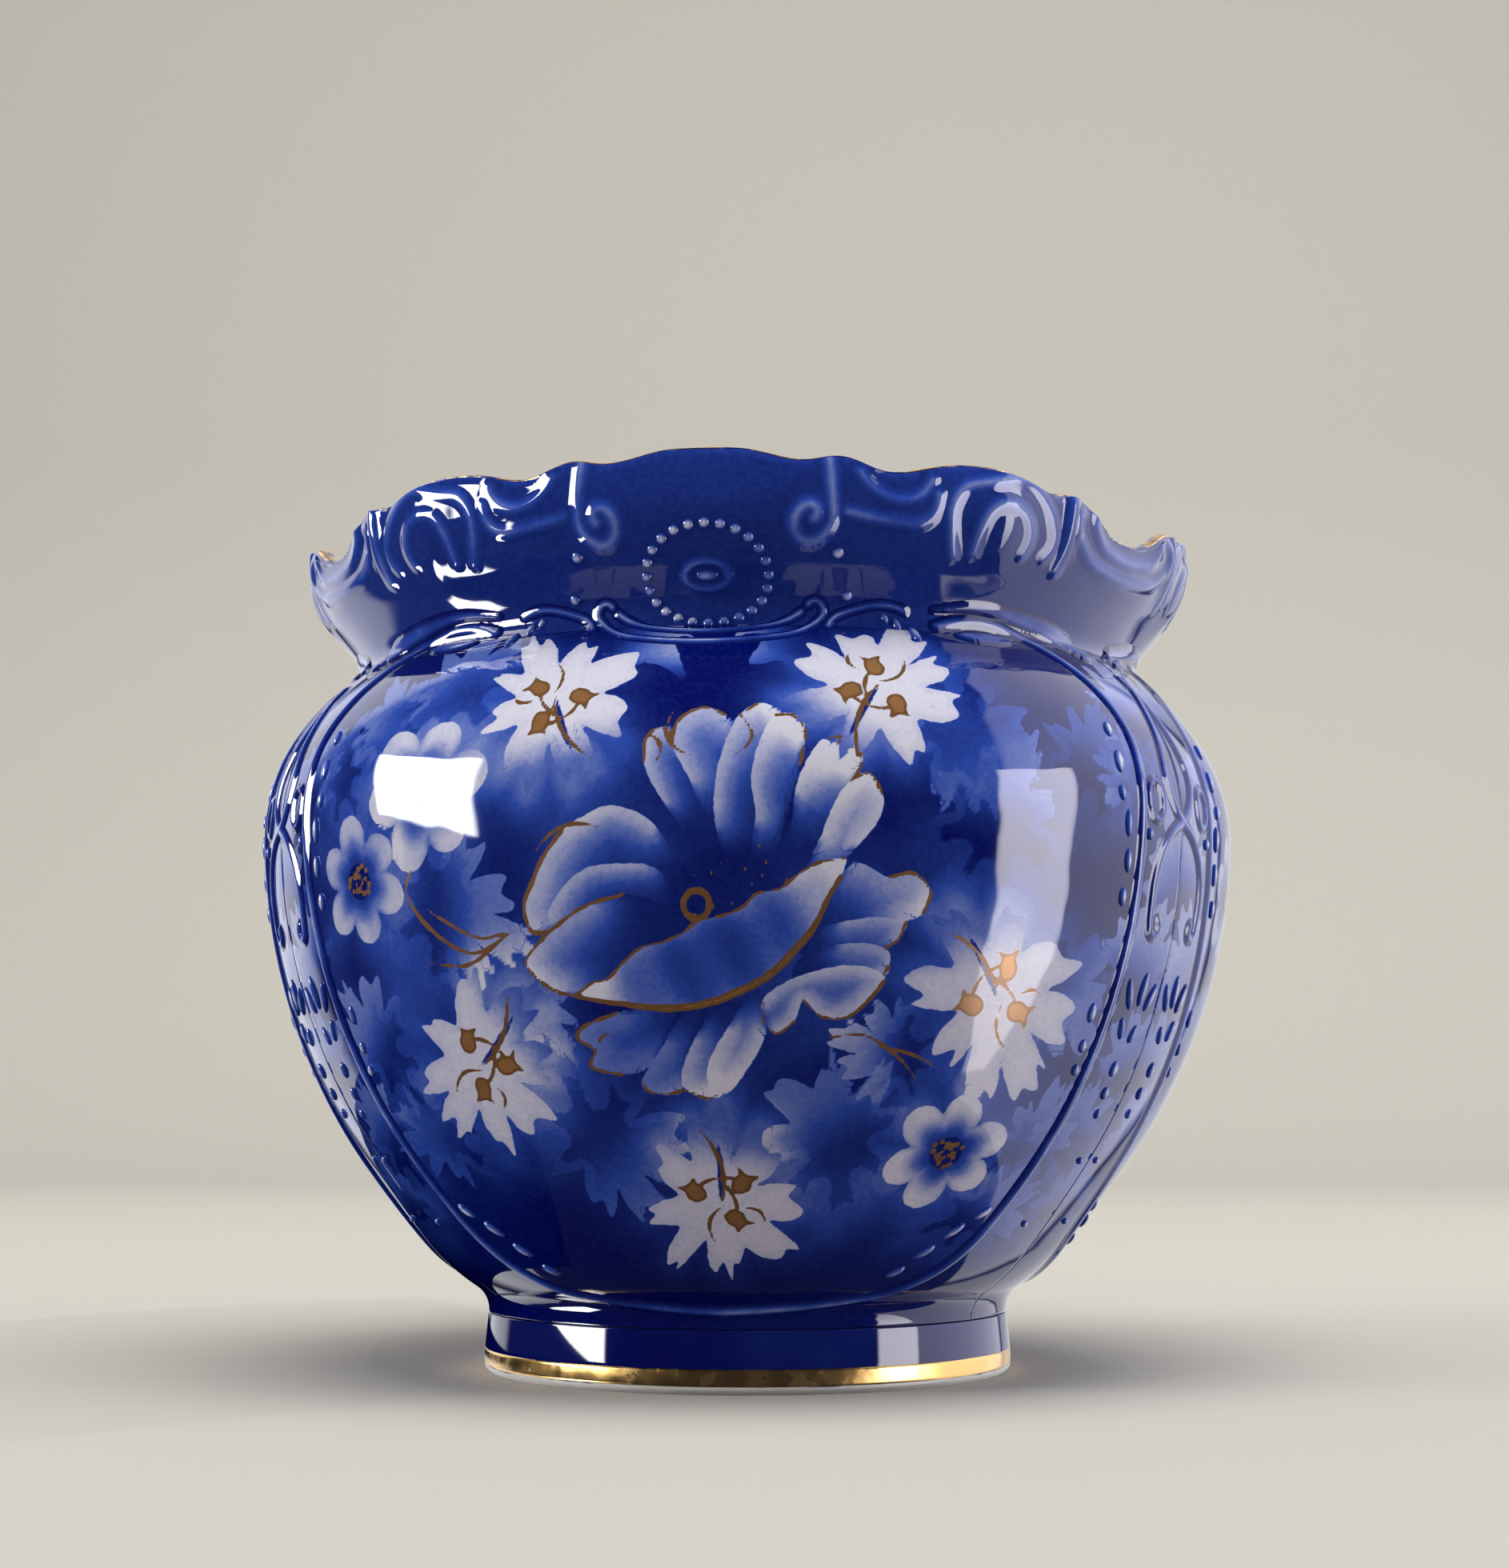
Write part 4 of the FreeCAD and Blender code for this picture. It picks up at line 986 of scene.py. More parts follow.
class JardiniereSettings(bpy.types.PropertyGroup):
    deep: colour_setting("Deep glaze", "Colour of the cobalt ground", (0.0009, 0.0036, 0.115))
    mid: colour_setting("Mid blue", "Colour of the soft leaves and shading", (0.028, 0.078, 0.45))
    soft: colour_setting("Light blue", "Colour of the petals' middle tones", (0.14, 0.205, 0.57))
    pale: colour_setting("Petal white", "Colour of petal edges and pale leaves", (0.70, 0.70, 0.83))
    gilt: colour_setting("Gilt lines", "Colour of the painted gold lines", (0.47, 0.23, 0.085))
    band: colour_setting("Gilt band", "Colour of the gilding on foot and rim", (0.78, 0.50, 0.18))
    gloss: FloatProperty(name="Glaze roughness", description="Roughness of the glaze",
                         min=0, max=1, default=0.045)
    relief: length_setting("Relief", "Height of the moulded ornament over the wall", 0.0009)
    softness: length_setting("Softness", "How far the glaze rounds the ornament's edges", 0.0015)
    fineness: IntProperty(name="Bead fineness", description="Subdivisions of a bead's sphere",
                          min=1, max=4, default=2)


class StageSettings(bpy.types.PropertyGroup):
    backdrop: colour_setting("Backdrop", "Colour of floor and backdrop", (0.83, 0.81, 0.735))
    key: power_setting("Left window", "Power of the small light at the left", 14.0)
    fill: power_setting("Right panel", "Power of the tall soft light at the right", 22.0)
    top: power_setting("Top light", "Power of the large light overhead", 35.0)
    lens: FloatProperty(name="Lens", description="Focal length of the camera",
                        subtype="DISTANCE_CAMERA", min=1, default=61.08)


def settings():
    return bpy.context.scene.jardiniere


# Ornament: strokes as (angles, heights, half widths), in millimetres as in the CAD source

# How far the wall's surface is taken round the strokes, how far it stays under the rim, and how far
# the relief's edge dips into the wall
MARGIN, RIM_CLEAR, SINK = 4.2, 1.0, 0.06
# Height of the medallions' middle
MEDALLION_H = NECK_H + 11.4
# How much wider the glaze rounds the neck's thin lines and the rim's ornament than the bowl's
NECK_SOFT, RIM_SOFT = 1.3, 1.7


def flat_path(shares, height, low, heading):
    """A smooth flat line whose points are shares of a height over a low level."""
    return path([(a * height, low + b * height) for a, b in shares], heading, 0.5)


def doubled(shares, height, low):
    """A line level at its middle that runs out alike to both sides."""
    right = flat_path(shares, height, low, 0.0)
    left = right[::-1] * np.array([-1, 1])
    return np.concatenate([left[:-1], right])


def wall_stroke(points, turn, half):
    """A stroke on the wall from flat points (across, up) that are seen square to the direction turn."""
    return np.radians(turn) + np.arcsin(points[:, 0] / radius_at(points[:, 1])), points[:, 1], half


def mirrored(strokes):
    """The strokes and their mirror images about the front panel's middle."""
    return strokes + [(-phi, z, half) for phi, z, half in strokes]


def oval(across, middle, half_w, half_h):
    """Sixty places round a flat oval."""
    t = np.linspace(0, 2 * math.pi, 60)
    return np.stack([across + half_w * np.cos(t), middle + half_h * np.sin(t)], 1)


def wall_patch(name, strokes, step):
    """The wall's surface round the strokes, as a grid with its outward directions."""
    phi, z = (np.concatenate([stroke[k] for stroke in strokes]) for k in (0, 1))
    reach = MARGIN / radius_at(z).min()
    low, high = max(z.min() - MARGIN, FOOT_H), z.max() + MARGIN
    columns = int((phi.max() - phi.min() + 2 * reach) * radius_at(z).max() / step) + 2
    rows = int((length_at(high) - length_at(low)) / step) + 2
    p, q = np.meshgrid(np.linspace(phi.min() - reach, phi.max() + reach, columns),
                       level_at(np.linspace(length_at(low), length_at(high), rows)))
    p, q = p.ravel(), q.ravel()
    if high > HEIGHT - RIM_DROP:
        q = np.minimum(q, rim_height(p) - RIM_CLEAR)
    return new_piece(name, on_wall(p, q), grid_faces(rows, columns), {"out": outward(p, q)})


def stroke_object(strokes):
    """The strokes as edges on the wall, each point with the half width there."""
    places, edges, halves = [], [], []
    for phi, z, half in strokes:
        start, shares = len(places), np.linspace(0, 1, len(phi))
        places += list(on_wall(phi, z) * MM)
        edges += [(start + k, start + k + 1) for k in range(len(phi) - 1)]
        halves += list(np.interp(shares, np.linspace(0, 1, np.size(half)), np.ravel(half)) * MM)
    mesh = bpy.data.meshes.new("strokes")
    mesh.from_pydata([tuple(p) for p in places], edges, [])
    field = mesh.attributes.new("half", "FLOAT", "POINT")
    field.data.foreach_set("value", np.array(halves, dtype=np.float32))
    guide = bpy.data.objects.new("strokes", mesh)
    bpy.context.scene.collection.objects.link(guide)
    return guide


def relief_piece(tree, name, node, strokes, material, soft=1.0, units=UNITS, step=0.45):
    """Ornament raised along strokes; soft above 1 makes it lower and rounder."""
    s = settings()
    guide = stroke_object(strokes)
    piece = grown(wall_patch(name, strokes, step), tree, {
        "Strokes": guide, "Relief": s.relief / soft ** 0.6, "Softness": s.softness * soft,
        "Sink": SINK * MM, "Units": units, "Finish": material})
    bpy.data.objects.remove(guide)
    finish_piece(piece, node)


# Points of half a panel frame, as shares of the belly's radius and of the height from foot to neck
FRAME = (
    (-0.346, 0.027), (-0.121, 0.046), (0.067, 0.166), (0.147, 0.380), (0.207, 0.792), (0.205, 0.841),
    (0.138, 0.958), (0.086, 0.992), (-0.111, 1.016), (-0.140, 1.009),
)


def frame_strokes(turn):
    """The frame of one panel."""
    nodes = [(a * BELLY_R, FOOT_H + b * (NECK_H - FOOT_H)) for a, b in FRAME]
    side = wall_stroke(path(nodes, heading=3.0, step=0.8), turn=40.0, half=1.3)
    return [(phi + turn, z, half) for phi, z, half in mirrored([side])]


def bracket_strokes():
    """A long bracket under the medallion, with its inner line."""
    outer = ((0.0, 0.0), (1.73, 0.17), (2.52, 0.69), (2.46, 1.04), (2.22, 0.98))
    inner = ((0.0, 0.29), (1.30, 0.42), (2.06, 0.80))
    brackets = [doubled(shares, height=10.4, low=NECK_H - 4.8) for shares in (outer, inner)]
    return [wall_stroke(bracket, turn=0.0, half=0.5) for bracket in brackets]


def arch_strokes():
    """Small arches beside the bracket."""
    shares = ((-1.50, 0.10), (-0.97, 0.62), (0.06, 0.97), (0.80, 1.02), (1.46, 0.84))
    arch = flat_path(shares, height=6.6, low=NECK_H - 0.8, heading=66.0)
    return mirrored([wall_stroke(arch, turn=20.5, half=0.5)])


def leaf_strokes():
    """A long blade along the neck with a nib at its tip, each with half widths along it."""
    blade = np.array([(-27.6, 186.0), (-19.0, 187.2), (-9.5, 187.0), (4.7, 185.1), (14.5, 181.8),
                      (19.0, 179.6)])
    steps = np.linspace(0, len(blade) - 1, 60)
    blade = np.stack([catmull(blade[:, k], steps) for k in (0, 1)], 1)
    nib = np.array([(17.0, 180.2), (20.0, 180.4), (22.6, 180.7)])
    return mirrored([wall_stroke(blade, turn=45.0, half=(0.4, 1.1, 1.5, 2.2, 3.4, 3.0)),
                     wall_stroke(nib, turn=45.0, half=(2.4, 1.4, 0.3))])


def cushion_strokes():
    """Small oval pads between leaf and frame."""
    t = np.linspace(-0.9, 0.9, 25)
    middle = np.stack([-15.2 + 7.9 * t, NECK_H - 0.7 + 0 * t], 1)
    return mirrored([wall_stroke(middle, turn=45.0, half=2.3 * np.sqrt(1 - t ** 2))])


def lyre_strokes():
    """Two crossed scrolls on a strip."""
    shares = ((0.018, 1.0), (-0.092, 0.65), (0.022, 0.41), (0.20, 0.16), (0.19, 0.0), (0.14, 0.03))
    lyre = flat_path(shares, height=63.0, low=BELLY_H - 25.6, heading=-110.0)
    return [wall_stroke(lyre * np.array([side, 1]), turn=SIXTH, half=1.1) for side in (-1, 1)]


def loop_strokes():
    """Two drop-shaped loops on a strip."""
    loops = [oval(across=side * 12.4, middle=BELLY_H + 5.2, half_w=3.05, half_h=4.85) for side in (-1, 1)]
    return [wall_stroke(loop, turn=SIXTH, half=0.75) for loop in loops]


def curl_strokes():
    """C-curls beside each raised lobe of the rim."""
    shares = ((0.10, 1.0), (0.16, 0.34), (-0.07, 0.0), (-0.31, 0.17), (-0.18, 0.39), (-0.07, 0.24))
    curl = flat_path(shares, height=19.5, low=HEIGHT - 22.0, heading=-85.0)
    return mirrored([wall_stroke(curl, turn=13.2, half=1.5)])


def swag_strokes():
    """Pairs of small swags."""
    upper = ((-0.78, 0.90), (-0.14, 0.47), (0.62, 0.86))
    lower = ((-1.00, 0.18), (0.18, 0.02), (0.76, 0.58))
    swags = [flat_path(shares, height=12.6, low=HEIGHT - 17.7, heading=heading)
             for shares, heading in ((upper, -55.0), (lower, -12.0))]
    return mirrored([wall_stroke(swag, turn=22.6, half=1.25) for swag in swags])


def shell_strokes():
    """Arched shells with an inner arch."""
    outer = ((-0.68, 0.0), (-0.82, 0.42), (-0.50, 0.86), (0.0, 0.98), (0.52, 0.86), (0.80, 0.42),
             (0.70, 0.10))
    inner = ((-0.42, 0.04), (-0.36, 0.44), (-0.02, 0.66), (0.34, 0.44), (0.32, 0.10))
    shells = [flat_path(shares, height=19.0, low=HEIGHT - 23.0, heading=heading)
              for shares, heading in ((outer, 120.0), (inner, 95.0))]
    return mirrored([wall_stroke(shell, turn=36.6, half=1.4) for shell in shells])


def bud_strokes():
    """Upright buds beside the crescents."""
    shares = ((-0.06, 0.0), (-0.05, 0.50), (0.05, 1.0))
    bud = flat_path(shares, height=17.5, low=HEIGHT - 23.4, heading=92.0)
    return mirrored([wall_stroke(bud, turn=46.5, half=1.5)])


def crescent_strokes():
    """Hanging crescents under a low trough of the rim."""
    outer = ((0.0, 0.0), (1.12, 0.13), (1.77, 0.56), (1.74, 0.96))
    inner = ((0.0, 0.35), (0.78, 0.43), (1.27, 0.74), (1.29, 1.0))
    crescents = [doubled(shares, height=13.6, low=HEIGHT - 21.9) for shares in (outer, inner)]
    return [wall_stroke(crescent, turn=SIXTH, half=1.4) for crescent in crescents]


def ring_strokes():
    """The oval ring inside a medallion's pearls."""
    ring = oval(across=0.0, middle=MEDALLION_H, half_w=5.15, half_h=2.85)
    return [wall_stroke(ring, turn=0.0, half=0.75)]


# Beads: how far they stand out, the pearls round a medallion, and the half axes of their oval
BEAD_OUT, PEARLS, PEARL_OVAL = 0.9, 24, (14.3, 10.8)
# Other beads, by piece: their node, the heights between which theirs are shares, and for each the
# angle in degrees, share of the height, half width, half length and lean
BEADS = (
    ("frame_beads", "frame_pearls", (FOOT_H, NECK_H), (
        (48.4, 0.865, 1.2, 2.2, -8), (48.6, 0.817, 1.5, 3.0, -4), (48.3, 0.770, 1.1, 2.0, 6),
        (49.2, 0.727, 1.0, 3.4, 0), (49.3, 0.673, 1.0, 3.0, 0), (48.9, 0.621, 1.1, 2.4, 0),
        (47.3, 0.456, 1.3, 2.6, 0), (47.3, 0.409, 1.2, 1.8, 0), (47.4, 0.375, 1.1, 1.6, 0))),
    ("strip_frond_beads", "strip_fronds", (FOOT_H, NECK_H), (
        (53.4, 0.484, 1.1, 4.2, 18), (55.9, 0.492, 1.1, 4.4, -6), (58.0, 0.482, 1.0, 4.0, -24),
        (53.6, 0.435, 1.0, 3.0, 16), (56.4, 0.428, 1.2, 2.6, -20))),
    ("strip_beads", "strip_pearls", (FOOT_H, NECK_H), (
        (53.1, 0.715, 1.2, 1.5, 0), (55.0, 0.377, 1.3, 2.2, 0), (55.2, 0.342, 1.2, 1.8, 0),
        (55.6, 0.312, 1.0, 1.4, 0), (57.6, 0.243, 1.0, 1.0, 0), (53.4, 0.150, 1.0, 1.0, 0))),
    ("low_frond_beads", "low_fronds", (FOOT_H, NECK_H), (
        (42.2, 0.170, 1.0, 3.0, -50), (38.2, 0.144, 1.0, 3.4, -50), (34.4, 0.114, 1.0, 3.2, -52),
        (30.6, 0.085, 1.0, 2.8, -54))),
    ("neck_flutes", "neck_shell_flutes", (FOOT_H, NECK_H), (
        (22.9, 1.016, 0.9, 1.5, 20), (24.4, 1.008, 1.0, 2.2, 12), (26.3, 0.992, 1.2, 3.4, 4))),
    ("curl_beads", "curl_dots", (NECK_H, HEIGHT), (
        (15.7, 0.399, 1.5, 1.5, 0), (17.7, 0.186, 1.4, 1.4, 0))),
)


def medallion_pearls():
    """Pearls round an oval, as (degrees, height, half width, half length, lean)."""
    pearls = []
    for t in 2 * math.pi * np.arange(PEARLS) / PEARLS:
        z = MEDALLION_H + PEARL_OVAL[1] * math.sin(t)
        turn = math.degrees(math.asin(PEARL_OVAL[0] * math.cos(t) / radius_at(z)))
        pearls.append((turn, z, 1.3, 1.3, 0))
    return pearls


def bead_points(name, beads):
    """Points on the wall for beads as in medallion_pearls, each with its aim and size."""
    places, aims, sizes = [], [], []
    for turn, z, half_w, half_l, lean in beads:
        phi, z = np.array(math.radians(turn)), np.array(z)
        places.append(on_wall(phi, z))
        out = Vector(outward(phi, z))
        across = Vector((math.cos(phi), math.sin(phi), 0))
        upright = Matrix((across, out.cross(across), out)).transposed()
        aims.append((upright @ Matrix.Rotation(math.radians(lean), 3, "Z")).to_euler())
        sizes.append((half_w * MM, half_l * MM, BEAD_OUT * MM))
    return new_piece(name, places, [], {"aim": aims, "size": sizes})


# Turned pieces

# Bevels of the foot inside and outside, and the most by which a corner is softened
BORE_BEVEL, FOOT_BEVEL, CORNER_SOFT = 0.6, 1.2, 0.5
# The gilt band on the foot: how far its edges and its middle stand out, and its back lies in
BAND_EDGE, BAND_SWELL, BAND_DEPTH = 0.02, 0.12, 0.3
# Meshing of the bowl's outside: degrees between columns, from which angle wider, and rows
PANEL_STEP, STRIP_STEP, STRIP_FROM, BOWL_ROWS = 0.34, 0.5, 52.0, 290
# How far the bowl's printed outside folds in at its edges, and where its liner starts behind it
SKIRT, LINER_DEPTH = 1.2, 1.25
# The rounded lip of the collar, and degrees between the collar's columns
LIP, COLLAR_STEP = WALL / 2, 0.5


def rounded(corners):
    """A closed outline whose corners are each softened a little."""
    outline = []
    for k, corner in enumerate(corners):
        at, before, after = (np.array(c) for c in (corner, corners[k - 1], corners[(k + 1) % len(corners)]))
        inwards = (before + after) / 2 - at
        inwards = inwards / (np.hypot(*inwards) + 1e-9)
        for t in (-1, -0.5, 0, 0.5, 1):
            side = (before if t < 0 else after) - at
            reach = min(CORNER_SOFT, 0.4 * np.hypot(*side))
            leg = side / np.hypot(*side) * reach * abs(t)
            outline.append(at + leg + 0.25 * reach * (1 - abs(t)) ** 2 * inwards)
    return outline


def border(rows, cols):
    """The outer loop of a grid's points, so that its skirt faces outwards."""
    low = np.arange(cols)
    right = np.arange(1, rows) * cols + cols - 1
    high = (rows - 1) * cols + np.arange(cols - 2, -1, -1)
    left = np.arange(rows - 2, 0, -1) * cols
    return np.concatenate([low, right, high, left])


def bowl_panel(name, phi, z, shape, fields, material):
    """A third of the bowl's outside, with a skirt that folds in along its edges."""
    places, back = on_wall(phi, z), on_wall(phi, z, -SKIRT)
    faces, rim = grid_faces(*shape), border(*shape)
    hem = len(places) + np.arange(len(rim))
    skirt = np.stack([rim, hem, np.roll(hem, -1), np.roll(rim, -1)], -1)
    fields = {key: np.concatenate([field, field[rim]]) for key, field in fields.items()}
    piece = new_piece(name, np.concatenate([places, back[rim]]), np.concatenate([faces, skirt]), fields)
    smooth = np.arange(len(piece.data.polygons)) < len(faces)
    piece.data.polygons.foreach_set("use_smooth", smooth)
    piece.data.materials.append(material)
    finish_piece(piece, "bowl_wall")


def lip_start(phi):
    """Where the collar's outside meets its rounded lip: radii, and heights."""
    z = rim_height(phi) - LIP
    return radius_at(z) + swell(phi, z), z


def lip_rows(phi, turns, off=0.0):
    """Rows over the lip, at turns in degrees from the outside, and off its surface."""
    edge, z = lip_start(phi)
    reach = LIP + off
    return [(edge - LIP + reach * math.cos(t), z + reach * math.sin(t)) for t in np.radians(turns)]


def collar_rows(phi):
    """Rows up the collar's outside, over its lip and down its inside."""
    edge, high = lip_start(phi)
    inner = shifted_line(-WALL, NECK_H - 2, HEIGHT + RIM_SPARE, 0.5)
    gap = edge - WALL - np.interp(high, inner[:, 1], inner[:, 0])
    outside, inside = [], []
    for t in np.linspace(0, 1, 56):
        z = NECK_H + t * (high - NECK_H)
        outside.append((radius_at(z) + swell(phi, z), z))
    for t in np.linspace(1, 0, 36):
        z = NECK_H + t * (high - NECK_H)
        inside.append((np.interp(z, inner[:, 1], inner[:, 0]) + gap * t ** 4, z))
    return outside + lip_rows(phi, np.linspace(0, 180, 13)[1:-1]) + inside


# Operators

class JARDINIERE_OT_foot(bpy.types.Operator):
    """Turn the glazed foot ring and its gilt band"""

    bl_idname = "jardiniere.foot"
    bl_label = "Foot"

    def execute(self, context):
        foot = turned("foot_ring_glazed", rounded((
            (FOOT_BORE, BORE_BEVEL), (FOOT_BORE + BORE_BEVEL, 0.0), (FOOT_R - FOOT_BEVEL, 0.0),
            (FOOT_R, FOOT_BEVEL), (FOOT_R, GILT_HIGH + 0.3), (THROAT_R + 0.1, FOOT_H - 0.2),
            (FOOT_BORE, FOOT_H - 0.2))), 360)
        foot.data.materials.append(foot_material("foot_glaze"))
        finish_piece(foot, "foot_ring")
        band = [(FOOT_R + BAND_EDGE + BAND_SWELL * math.sin(math.pi * t),
                 GILT_LOW + t * (GILT_HIGH - GILT_LOW)) for t in np.linspace(0, 1, 7)]
        band += [(FOOT_R - BAND_DEPTH, GILT_HIGH), (FOOT_R - BAND_DEPTH, GILT_LOW)]
        gilt = turned("foot_gilding", band, 360)
        gilt.data.materials.append(gilt_material("band_gilding", 0.28))
        finish_piece(gilt, "foot_gilt_band")
        return {"FINISHED"}


class JARDINIERE_OT_bowl(bpy.types.Operator):
    """Make the printed outside of the bowl in three parts, its inside and its floor"""

    bl_idname = "jardiniere.bowl"
    bl_label = "Bowl"

    def execute(self, context):
        half = np.concatenate([np.arange(0, STRIP_FROM, PANEL_STEP),
                               np.arange(STRIP_FROM, SIXTH, STRIP_STEP), [SIXTH]])
        columns = np.radians(np.concatenate([-half[:0:-1], half]))
        rows = level_at(np.linspace(0, length_at(NECK_H), BOWL_ROWS))
        phi, z = (a.ravel() for a in np.meshgrid(columns, rows))
        sheet = Print(phi, z)
        strip_print(sheet)
        panel_print(sheet)
        fields = {"under": sheet.under, "over": sheet.over, "edge": sheet.edge, "gold": sheet.gold}
        glaze = glaze_material("printed_glaze", printed=True)
        for k, name in enumerate(("bowl_front", "bowl_right", "bowl_left")):
            turn = np.radians(2 * SIXTH * k)
            bowl_panel(name, phi + turn, z, (len(rows), len(columns)), fields, glaze)
        outer = shifted_line(-LINER_DEPTH, FOOT_H, NECK_H, 2.0)
        inner = shifted_line(-WALL, FOOT_H, NECK_H, 2.0)
        liner = turned("bowl_inside", np.concatenate([outer, inner[::-1]]), 240)
        pale = inside_material("inside_glaze")
        liner.data.materials.append(pale)
        finish_piece(liner, "bowl_wall")
        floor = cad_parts["bowl_floor"]
        floor.data.materials.clear()
        floor.data.materials.append(pale)
        return {"FINISHED"}


class JARDINIERE_OT_collar(bpy.types.Operator):
    """Make the scalloped collar with its rounded lip, and the gilding along it"""

    bl_idname = "jardiniere.collar"
    bl_label = "Collar"

    def execute(self, context):
        phi = np.radians(np.arange(0, 360, COLLAR_STEP))
        collar = ring_piece("collar_glazed", collar_rows(phi), phi)
        collar.data.materials.append(glaze_material("collar_glaze", thin=0.20))
        finish_piece(collar, "collar")
        over, under = (lip_rows(phi, turns, off) for turns, off in (
            (np.linspace(50, 130, 9), 0.05), (np.linspace(130, 50, 9), -0.2)))
        gilt = ring_piece("rim_gilding_worn", over + under, phi)
        gilt.data.materials.append(gilt_material("rim_gilding", 0.50))
        finish_piece(gilt, "rim_gilding")
        return {"FINISHED"}


class JARDINIERE_OT_body_relief(bpy.types.Operator):
    """Raise the panel frames, the neck ornament and the strip scrolls from the bowl"""

    bl_idname = "jardiniere.body_relief"
    bl_label = "Bowl relief"

    def execute(self, context):
        tree = relief_tree()
        glaze = glaze_material("raised_glaze", raised=1.25)
        # Neck lines: crests paler where the glaze runs thin, and much paler still as painted light, standing
        # for the window light that falls on them
        thin_and_lit_glaze = glaze_material("scroll_glaze", raised=3.4)
        for k, side in enumerate(("front", "right", "left")):
            strokes = frame_strokes(np.radians(2 * SIXTH * k))
            relief_piece(tree, "frame_" + side, "panel_frame_" + side, strokes, glaze, units=1, step=0.6)
        for name, node, strokes, coat, soft in (
            ("neck_bracket_lines", "neck_brackets", bracket_strokes(), thin_and_lit_glaze, NECK_SOFT),
            ("neck_arch_lines", "neck_arches", arch_strokes(), thin_and_lit_glaze, NECK_SOFT),
            ("neck_leaf_blades", "neck_leaves", leaf_strokes(), glaze, 1.0),
            ("neck_cushion_pads", "neck_cushions", cushion_strokes(), glaze, 1.0),
            ("lyre_lines", "lyre_scrolls", lyre_strokes(), glaze, 1.0),
            ("drop_loop_lines", "drop_loops", loop_strokes(), glaze, 1.0),
        ):
            relief_piece(tree, name, node, strokes, coat, soft)
        return {"FINISHED"}


class JARDINIERE_OT_rim_relief(bpy.types.Operator):
    """Raise the curls, swags, shells, buds and crescents under the rim"""

    bl_idname = "jardiniere.rim_relief"
    bl_label = "Rim relief"

    def execute(self, context):
        tree = relief_tree()
        glaze = glaze_material("rim_glaze", raised=1.0, thin=0.20)
        for name, node, strokes, soft in (
            ("rim_curl_lines", "rim_curls", curl_strokes(), RIM_SOFT),
            ("rim_swag_lines", "rim_swags", swag_strokes(), RIM_SOFT),
            ("rim_shell_lines", "rim_shells", shell_strokes(), RIM_SOFT),
            ("rim_bud_lines", "rim_buds", bud_strokes(), RIM_SOFT),
            ("rim_crescent_lines", "rim_crescents", crescent_strokes(), RIM_SOFT),
            ("medallion_ring_lines", "medallion_rings", ring_strokes(), 1.0),
        ):
            relief_piece(tree, name, node, strokes, glaze, soft)
        return {"FINISHED"}


class JARDINIERE_OT_beads(bpy.types.Operator):
    """Set the medallion's pearls and all the small beads, fronds and flutes"""

    bl_idname = "jardiniere.beads"
    bl_label = "Beads"

    def execute(self, context):
        tree = bead_tree()
        glaze = glaze_material("bead_glaze", raised=1.5, thin=0.26)
        rows = [("medallion_beads", "medallion_pearls", medallion_pearls(), 3),
                ("medallion_boss", "medallion_bosses", [(0.0, MEDALLION_H, 2.7, 1.35, 0)], 3)]
        for name, node, (low, high), table in BEADS:
            beads = [(turn, low + share * (high - low), w, l, lean) for turn, share, w, l, lean in table]
            beads += [(-turn, z, w, l, -lean) for turn, z, w, l, lean in beads]
            rows.append((name, node, beads, settings().fineness))
        for name, node, beads, fineness in rows:
            piece = grown(bead_points(name, beads), tree, {
                "Fineness": fineness, "Units": UNITS, "Finish": glaze})
            finish_piece(piece, node)
        return {"FINISHED"}


# Stage, in metres unless said otherwise

# The floor's front end, where its curve starts, the curve's radius, the backdrop's top, half its width
FLOOR_FRONT, CURVE_START, CURVE_R, BACKDROP_TOP, HALF_WIDTH = -3.0, 1.6, 0.9, 3.2, 4.0
# The colour that the floor throws back at the pot. It shows its own colour with painted shade towards the
# camera: this share of it is left close to the camera, before this place along Y
BOUNCE, NEAR_SHADE, SHADE_START = (0.30, 0.27, 0.27), 0.66, -0.5
# The camera: distance from the pot's axis, height, then its turn round the pot, tilt and yaw in degrees
CAMERA_FAR, CAMERA_H, CAMERA_TURN, CAMERA_TILT, CAMERA_YAW = 0.6945, 0.0685, 5.0, 97.195, 4.848
SENSOR = 36.0
# Light from all round as the colours take it up, and as the glaze mirrors it, and its strength
AMBIENT, MIRRORED, AMBIENT_STRENGTH = (0.62, 0.61, 0.58), (0.05, 0.05, 0.07), 0.75
# Height above the floor from which the cards' directions are taken, in millimetres
CARD_CENTRE = 120.0
# The dark patch beside the foot: its outer radius in millimetres, and the angles that it spans
DARK_R, DARK_SPAN = 280.0, (-150, -40)
WHITE, WARM, COOL, VEIL = (1.0, 1.0, 1.0), (1.0, 0.98, 0.95), (0.95, 0.94, 1.0), (0.97, 0.97, 1.0)
